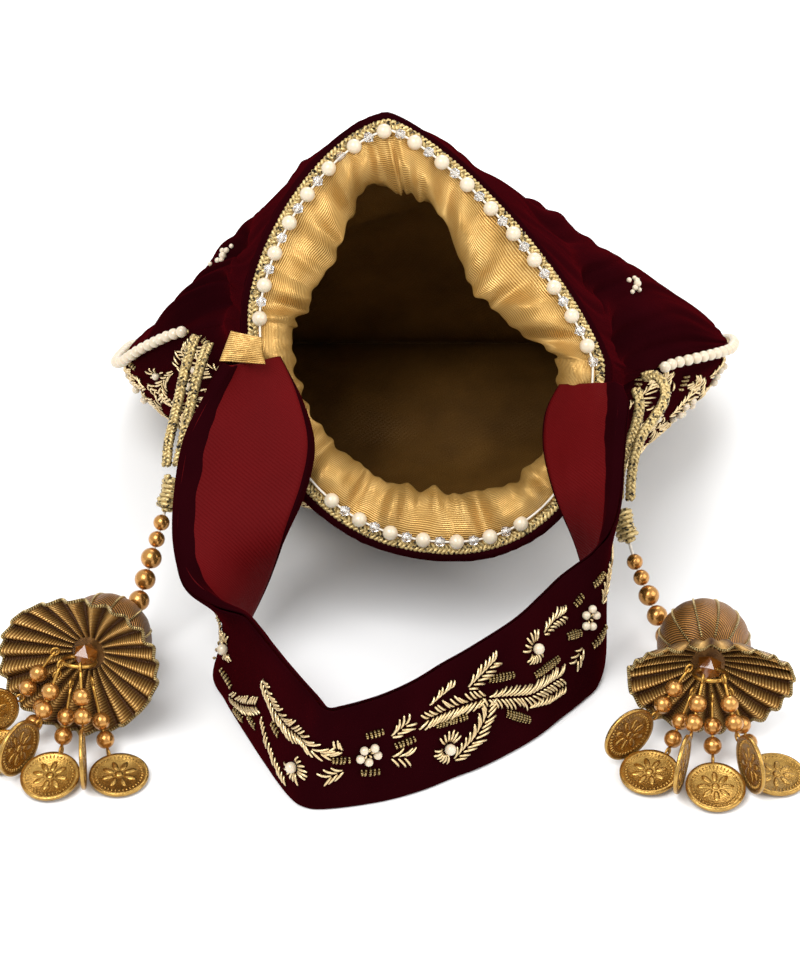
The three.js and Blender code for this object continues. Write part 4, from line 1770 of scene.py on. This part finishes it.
@dataclass
class Tassel:
    """Knot, beads, ball, pleated skirt, and a fan of beaded wires with coins.

    Attributes:
        hand: "left" or "right".
        knot: Middle of the wrapped knot.
        beads: First and last point of the line of cord beads.
        ball: Centre of the ball.
        mouth: Direction in which the skirt opens.
        squash: Height of the skirt's rim below its middle against its width.
        crown: The same above its middle.
        fan: Direction that the coins fan around.
    """

    hand: str
    knot: Vector
    beads: tuple[Vector, Vector]
    ball: Vector
    mouth: Vector
    squash: float
    crown: float
    fan: Vector
    ball_radius: float = 14.6
    skirt_radius: float = 25.0
    skirt_reach: float = 25.2
    pleats: int = 22
    pleat_height: float = 1.5
    hub_radius: float = 5.0
    hub_reach: float = 24.5
    wire: float = 0.5
    wire_reach: float = 12.0
    trim_bead: float = 2.8
    coin_radius: float = 9.0
    coin_link: float = 1.0
    coin_thick: float = 1.2
    fan_step: float = 19.0
    bead_radii: tuple[float, ...] = (2.75, 2.75, 3.5, 3.5, 3.5)

    def __post_init__(self) -> None:
        """Work out the tassel's own directions."""
        self.axis = self.mouth.normalized()
        self.side = self.axis.cross(UP).normalized()
        self.over = self.side.cross(self.axis).normalized()
        self.hub = self.ball + self.axis * self.hub_reach
        self.hang = (self.beads[0] - self.knot).normalized()

    def build(self) -> None:
        """Make every piece of the tassel."""
        self._knot()
        self._cord_beads()
        self._ball()
        self._skirt()
        self._hub()
        for i, coin in enumerate(COINS):
            self._dangler(i, coin)

    def _knot(self) -> None:
        """Wind braid round the strands."""
        piece = Piece(f"{self.hand}_wrapped_knot", BRAID, "gold_braid")
        cross = self.hang.orthogonal().normalized()
        third = self.hang.cross(cross)
        turns, per_turn = 7, 16
        line = []
        for i in range(turns * per_turn + 1):
            k = i / (turns * per_turn)
            turn = 2 * math.pi * i / per_turn
            radius = 2.7 + 0.35 * math.sin(math.pi * k * 3) - 1.5 * ease((k - 0.82) / 0.18)
            spot = self.knot + self.hang * mix(-5.4, 5.0, k)
            line.append(spot + (cross * math.cos(turn) + third * math.sin(turn)) * radius)
        piece.tube(line, 0.85, 6)
        core = [self.knot + self.hang * h for h in (-5.6, -2, 2, 5.4)]
        piece.tube(core, lambda v: mix(2.6, 1.2, ease(v)), 12)
        piece.finish_piece([f"{self.hand}_knot"])

    def _cord_beads(self) -> None:
        """String the cord beads from the knot to the ball."""
        start, end = self.beads
        line = (end - start).normalized()
        piece = Piece(f"{self.hand}_cord_beads", GOLD_BEAD, "gold_bead")
        run = 0.0
        for i, radius in enumerate(self.bead_radii):
            piece.ball(start + line * run, radius - 0.12)
            run += radius + (self.bead_radii[i + 1] if i + 1 < len(self.bead_radii) else 0)
        nodes = [f"{self.hand}_cord_bead_{i + 1}" for i in range(len(self.bead_radii))]
        piece.finish_piece(nodes)

        string = Piece(f"{self.hand}_bead_string", THREAD, "gold_braid")
        last = self.ball + (end - self.ball).normalized() * self.ball_radius
        corners = [self.knot + self.hang * 5.0, start, end, last]
        route = even_path(corners, 24)
        string.tube(route, 0.5, 6)
        cord = string.finish_piece()
        path = [metres(p) for p in route]
        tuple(path[0])
        path_length(path)

    def _round(self, angle: float) -> Vector:
        """Return the direction across the axis at an angle."""
        return self.side * math.cos(angle) + self.over * math.sin(angle)

    def _ball(self) -> None:
        """Make the stuffed ball with gold ribs sewn from pole to pole."""
        piece = Piece(f"{self.hand}_tassel_ball_cloth", BALL_CLOTH, "gold_foil")

        def place(u: float, v: float) -> Vector:
            """Return a point of the ball."""
            turn, lift = 2 * math.pi * u, math.pi * v
            pinch = 1 - 0.02 * (1 - abs(math.cos(6 * turn))) * math.sin(lift)
            radius = self.ball_radius * pinch * math.sin(lift)
            return self.ball + self._round(turn) * radius - self.axis * (
                math.cos(lift) * self.ball_radius
            )

        piece.sheet(96, 32, place, (90, 45), closed=True)
        piece.finish_piece([f"{self.hand}_tassel_ball"])
        ribs = Piece(f"{self.hand}_tassel_ball_ribs", BULLION, "gold_foil")
        for k in range(12):
            turn = 2 * math.pi * (k + 0.5) / 12
            line = []
            for i in range(17):
                lift = math.pi * mix(0.04, 0.82, i / 16)
                out = self._round(turn) * math.sin(lift) - self.axis * math.cos(lift)
                line.append(self.ball + out * (self.ball_radius * 0.992))
            ribs.tube(line, 0.42, 5)
        ribs.finish_piece()

    def skirt_point(self, t: float, angle: float) -> Vector:
        """Find a point of the pleated skirt.

        Args:
            t: Place from the ball, 0, to the rim, 1.
            angle: Place round the axis.

        Returns:
            The point in set-out millimetres.
        """
        ring = Vector((math.cos(angle), math.sin(angle), 0.7))
        ridge = 1.25 * math.cos(self.pleats * angle) - 0.25
        pleat = self.pleat_height * (0.3 + 0.7 * t) * ridge
        pleat += 0.9 * t * t * noise.noise(ring * 6)
        radius = mix(5.2, self.skirt_radius, t**1.25) * (1 + 0.03 * t * noise.noise(ring * 4))
        reach = mix(self.ball_radius + 1.2, self.skirt_reach, t) + pleat
        squash = mix(1, self.crown if math.sin(angle) > 0 else self.squash, t)
        spot = self.ball + self.axis * reach
        spot += self.side * (radius * math.cos(angle))
        spot += self.over * (radius * math.sin(angle) * squash)
        spot.z = BagForm().rest_on(0.6, spot.z)
        return spot

    def _skirt(self) -> None:
        """Make the pleated skirt and the gold cord along its rim."""
        piece = Piece(f"{self.hand}_skirt_cloth", SKIRT_CLOTH, "gold_foil")
        columns = 10 * self.pleats
        piece.sheet(
            columns, 16, lambda u, v: self.skirt_point(v, 2 * math.pi * u), (150, 24), closed=True
        )
        piece.finish_piece([f"{self.hand}_tassel_skirt"], wall=0.5, turn_out=False)
        rim = Piece(f"{self.hand}_skirt_rim", BULLION, "gold_foil")
        line = [self.skirt_point(1.0, 2 * math.pi * i / columns) for i in range(columns + 1)]
        rim.tube(line, 0.55, 6, looped=True)
        rim.finish_piece()

    def _hub(self) -> None:
        """Make the ring that carries the wires, its stem and the faceted cap."""
        ring = Piece(f"{self.hand}_hub_wire", WIRE, "brass")
        loop = []
        for i in range(49):
            turn = 2 * math.pi * i / 48
            loop.append(
                self.hub
                + (self.side * math.cos(turn) + self.axis * math.sin(turn)) * self.hub_radius
            )
        ring.tube(loop, 0.7, 8, looped=True)
        stem = [self.ball + self.axis * mix(14.0, self.hub_reach - 4.8, k / 4) for k in range(5)]
        ring.tube(stem, 0.9, 8)
        ring.finish_piece([f"{self.hand}_hub_ring"])
        cap = Piece(f"{self.hand}_amber_cap", AMBER, "gold_bead")
        cap.ball(self.ball + self.axis * 18.2, 4.2, detail=1)
        cap.finish_piece(flat=True)

    def _dangler(self, i: int, coin: Coin) -> None:
        """Make one beaded wire and its coin.

        Args:
            i: Place in the fan.
            coin: How the coin lies.
        """
        fan = math.radians((i - 3) * self.fan_step)
        front = self.fan.normalized()
        outward = Quaternion(UP, fan) @ front
        hinge = outward.cross(UP).normalized()
        start = self.hub + (Quaternion(UP, 1.4 * fan) @ front) * (self.hub_radius + 2)
        start.z += 3.5 if coin.upright else -3.0
        eye = start + outward * self.wire_reach
        eye.z = coin.rise + coin.slope * (self.coin_radius + self.coin_link)
        along = (eye - start).normalized()
        length = (eye - start).length

        name = f"{self.hand}_dangler_{i + 1}"
        wire = Piece(f"{name}_wire", WIRE, "brass", body=name)
        wire.tube([start.lerp(eye, k / 6) for k in range(7)], self.wire, 6)
        for end in (start, eye):
            hoop = [
                end + (along * math.cos(a) + hinge.cross(along) * math.sin(a)) * 1.3
                for a in [2 * math.pi * k / 16 for k in range(17)]
            ]
            wire.tube(hoop, 0.4, 5, looped=True)
        wire.finish_piece([name])
        beads = Piece(f"{name}_beads", GOLD_BEAD, "gold_bead", body=name)
        for back in (10.2, 4.3):
            beads.ball(start + along * (length - back), self.trim_bead)
        beads.finish_piece()
        self._coin(i, coin, eye, outward, hinge)

    def _coin(self, i: int, coin: Coin, eye: Vector, outward: Vector, hinge: Vector) -> None:
        """Make one stamped coin: a milled rim round a lotus of petals.

        Args:
            i: Place in the fan.
            coin: How the coin lies.
            eye: Point that it hangs from.
            outward: Level direction of the fan there.
            hinge: Axis that it swings about.
        """
        reach = self.coin_radius + self.coin_link
        drop = Vector((0, 0, coin.rise - eye.z))
        toward = (outward * reach + drop).normalized()
        centre = eye + toward * reach
        face = hinge if coin.upright else hinge.cross(toward).normalized()
        place = aimed(face, centre, toward)
        name = f"{self.hand}_coin_{i + 1}"
        piece = Piece(f"{name}_brass", COIN_BRASS, "brass", body=name)
        half, rim = self.coin_thick / 2, self.coin_radius
        profile = [
            (0, -half * 0.55), (rim - 1.5, -half * 0.55), (rim - 1.2, -half), (rim - 0.2, -half),
            (rim, -half * 0.6), (rim, half * 0.6), (rim - 0.2, half), (rim - 1.2, half),
            (rim - 1.5, half * 0.55), (0, half * 0.55),
        ]
        turned(piece, profile, place, 56)
        for sign in (-1, 1):
            level = sign * half * 0.5
            for k in range(40):
                turn = Matrix.Rotation(2 * math.pi * k / 40, 4, "Z")
                dash = turn @ Matrix.Translation((rim - 2.0, 0, level)) @ Matrix.Diagonal(
                    (0.75, 0.3, 0.34, 1)
                )
                bmesh.ops.create_icosphere(
                    piece.mesh, subdivisions=1, radius=1.0, matrix=place @ dash
                )
            for k in range(8):
                turn = Matrix.Rotation(2 * math.pi * k / 8, 4, "Z")
                petal = turn @ Matrix.Translation((3.6, 0, level)) @ Matrix.Diagonal(
                    (2.0, 0.95, 0.34, 1)
                )
                bmesh.ops.create_icosphere(
                    piece.mesh, subdivisions=2, radius=1.0, matrix=place @ petal
                )
            heart = Matrix.Translation((0, 0, level)) @ Matrix.Diagonal((1.3, 1.3, 0.45, 1))
            bmesh.ops.create_icosphere(
                piece.mesh, subdivisions=2, radius=1.0, matrix=place @ heart
            )
        piece.finish_piece([name])


def main() -> None:
    """Build the studio, then the bag from its cords outwards."""
    logging.basicConfig(level=logging.INFO)
    Studio().build()
    Drawstrings().build()
    Bag().build()
    Handle().build()
    tassels = (
        Tassel(
            "left", Vector((-79.8, -35.8, 44.8)),
            (Vector((-82.4, -41.3, 37.9)), Vector((-88.4, -55.5, 21.6))),
            Vector((-98.8, -72.6, 15.4)), Vector((-0.22, -0.9, 0.37)), 0.9, 0.76,
            Vector((-0.26, -1, 0)),
        ),
        Tassel(
            "right", Vector((65.6, -35, 31.8)),
            (Vector((68.7, -42.5, 23.2)), Vector((77, -58.5, 9))),
            Vector((88.2, -75.2, 15.4)), Vector((-0.03, -0.95, 0.29)), 0.72, 0.36,
            Vector((0, -1, 0)),
        ),
    )
    for tassel in tassels:
        tassel.build()


if __name__ == "__main__":
    main()
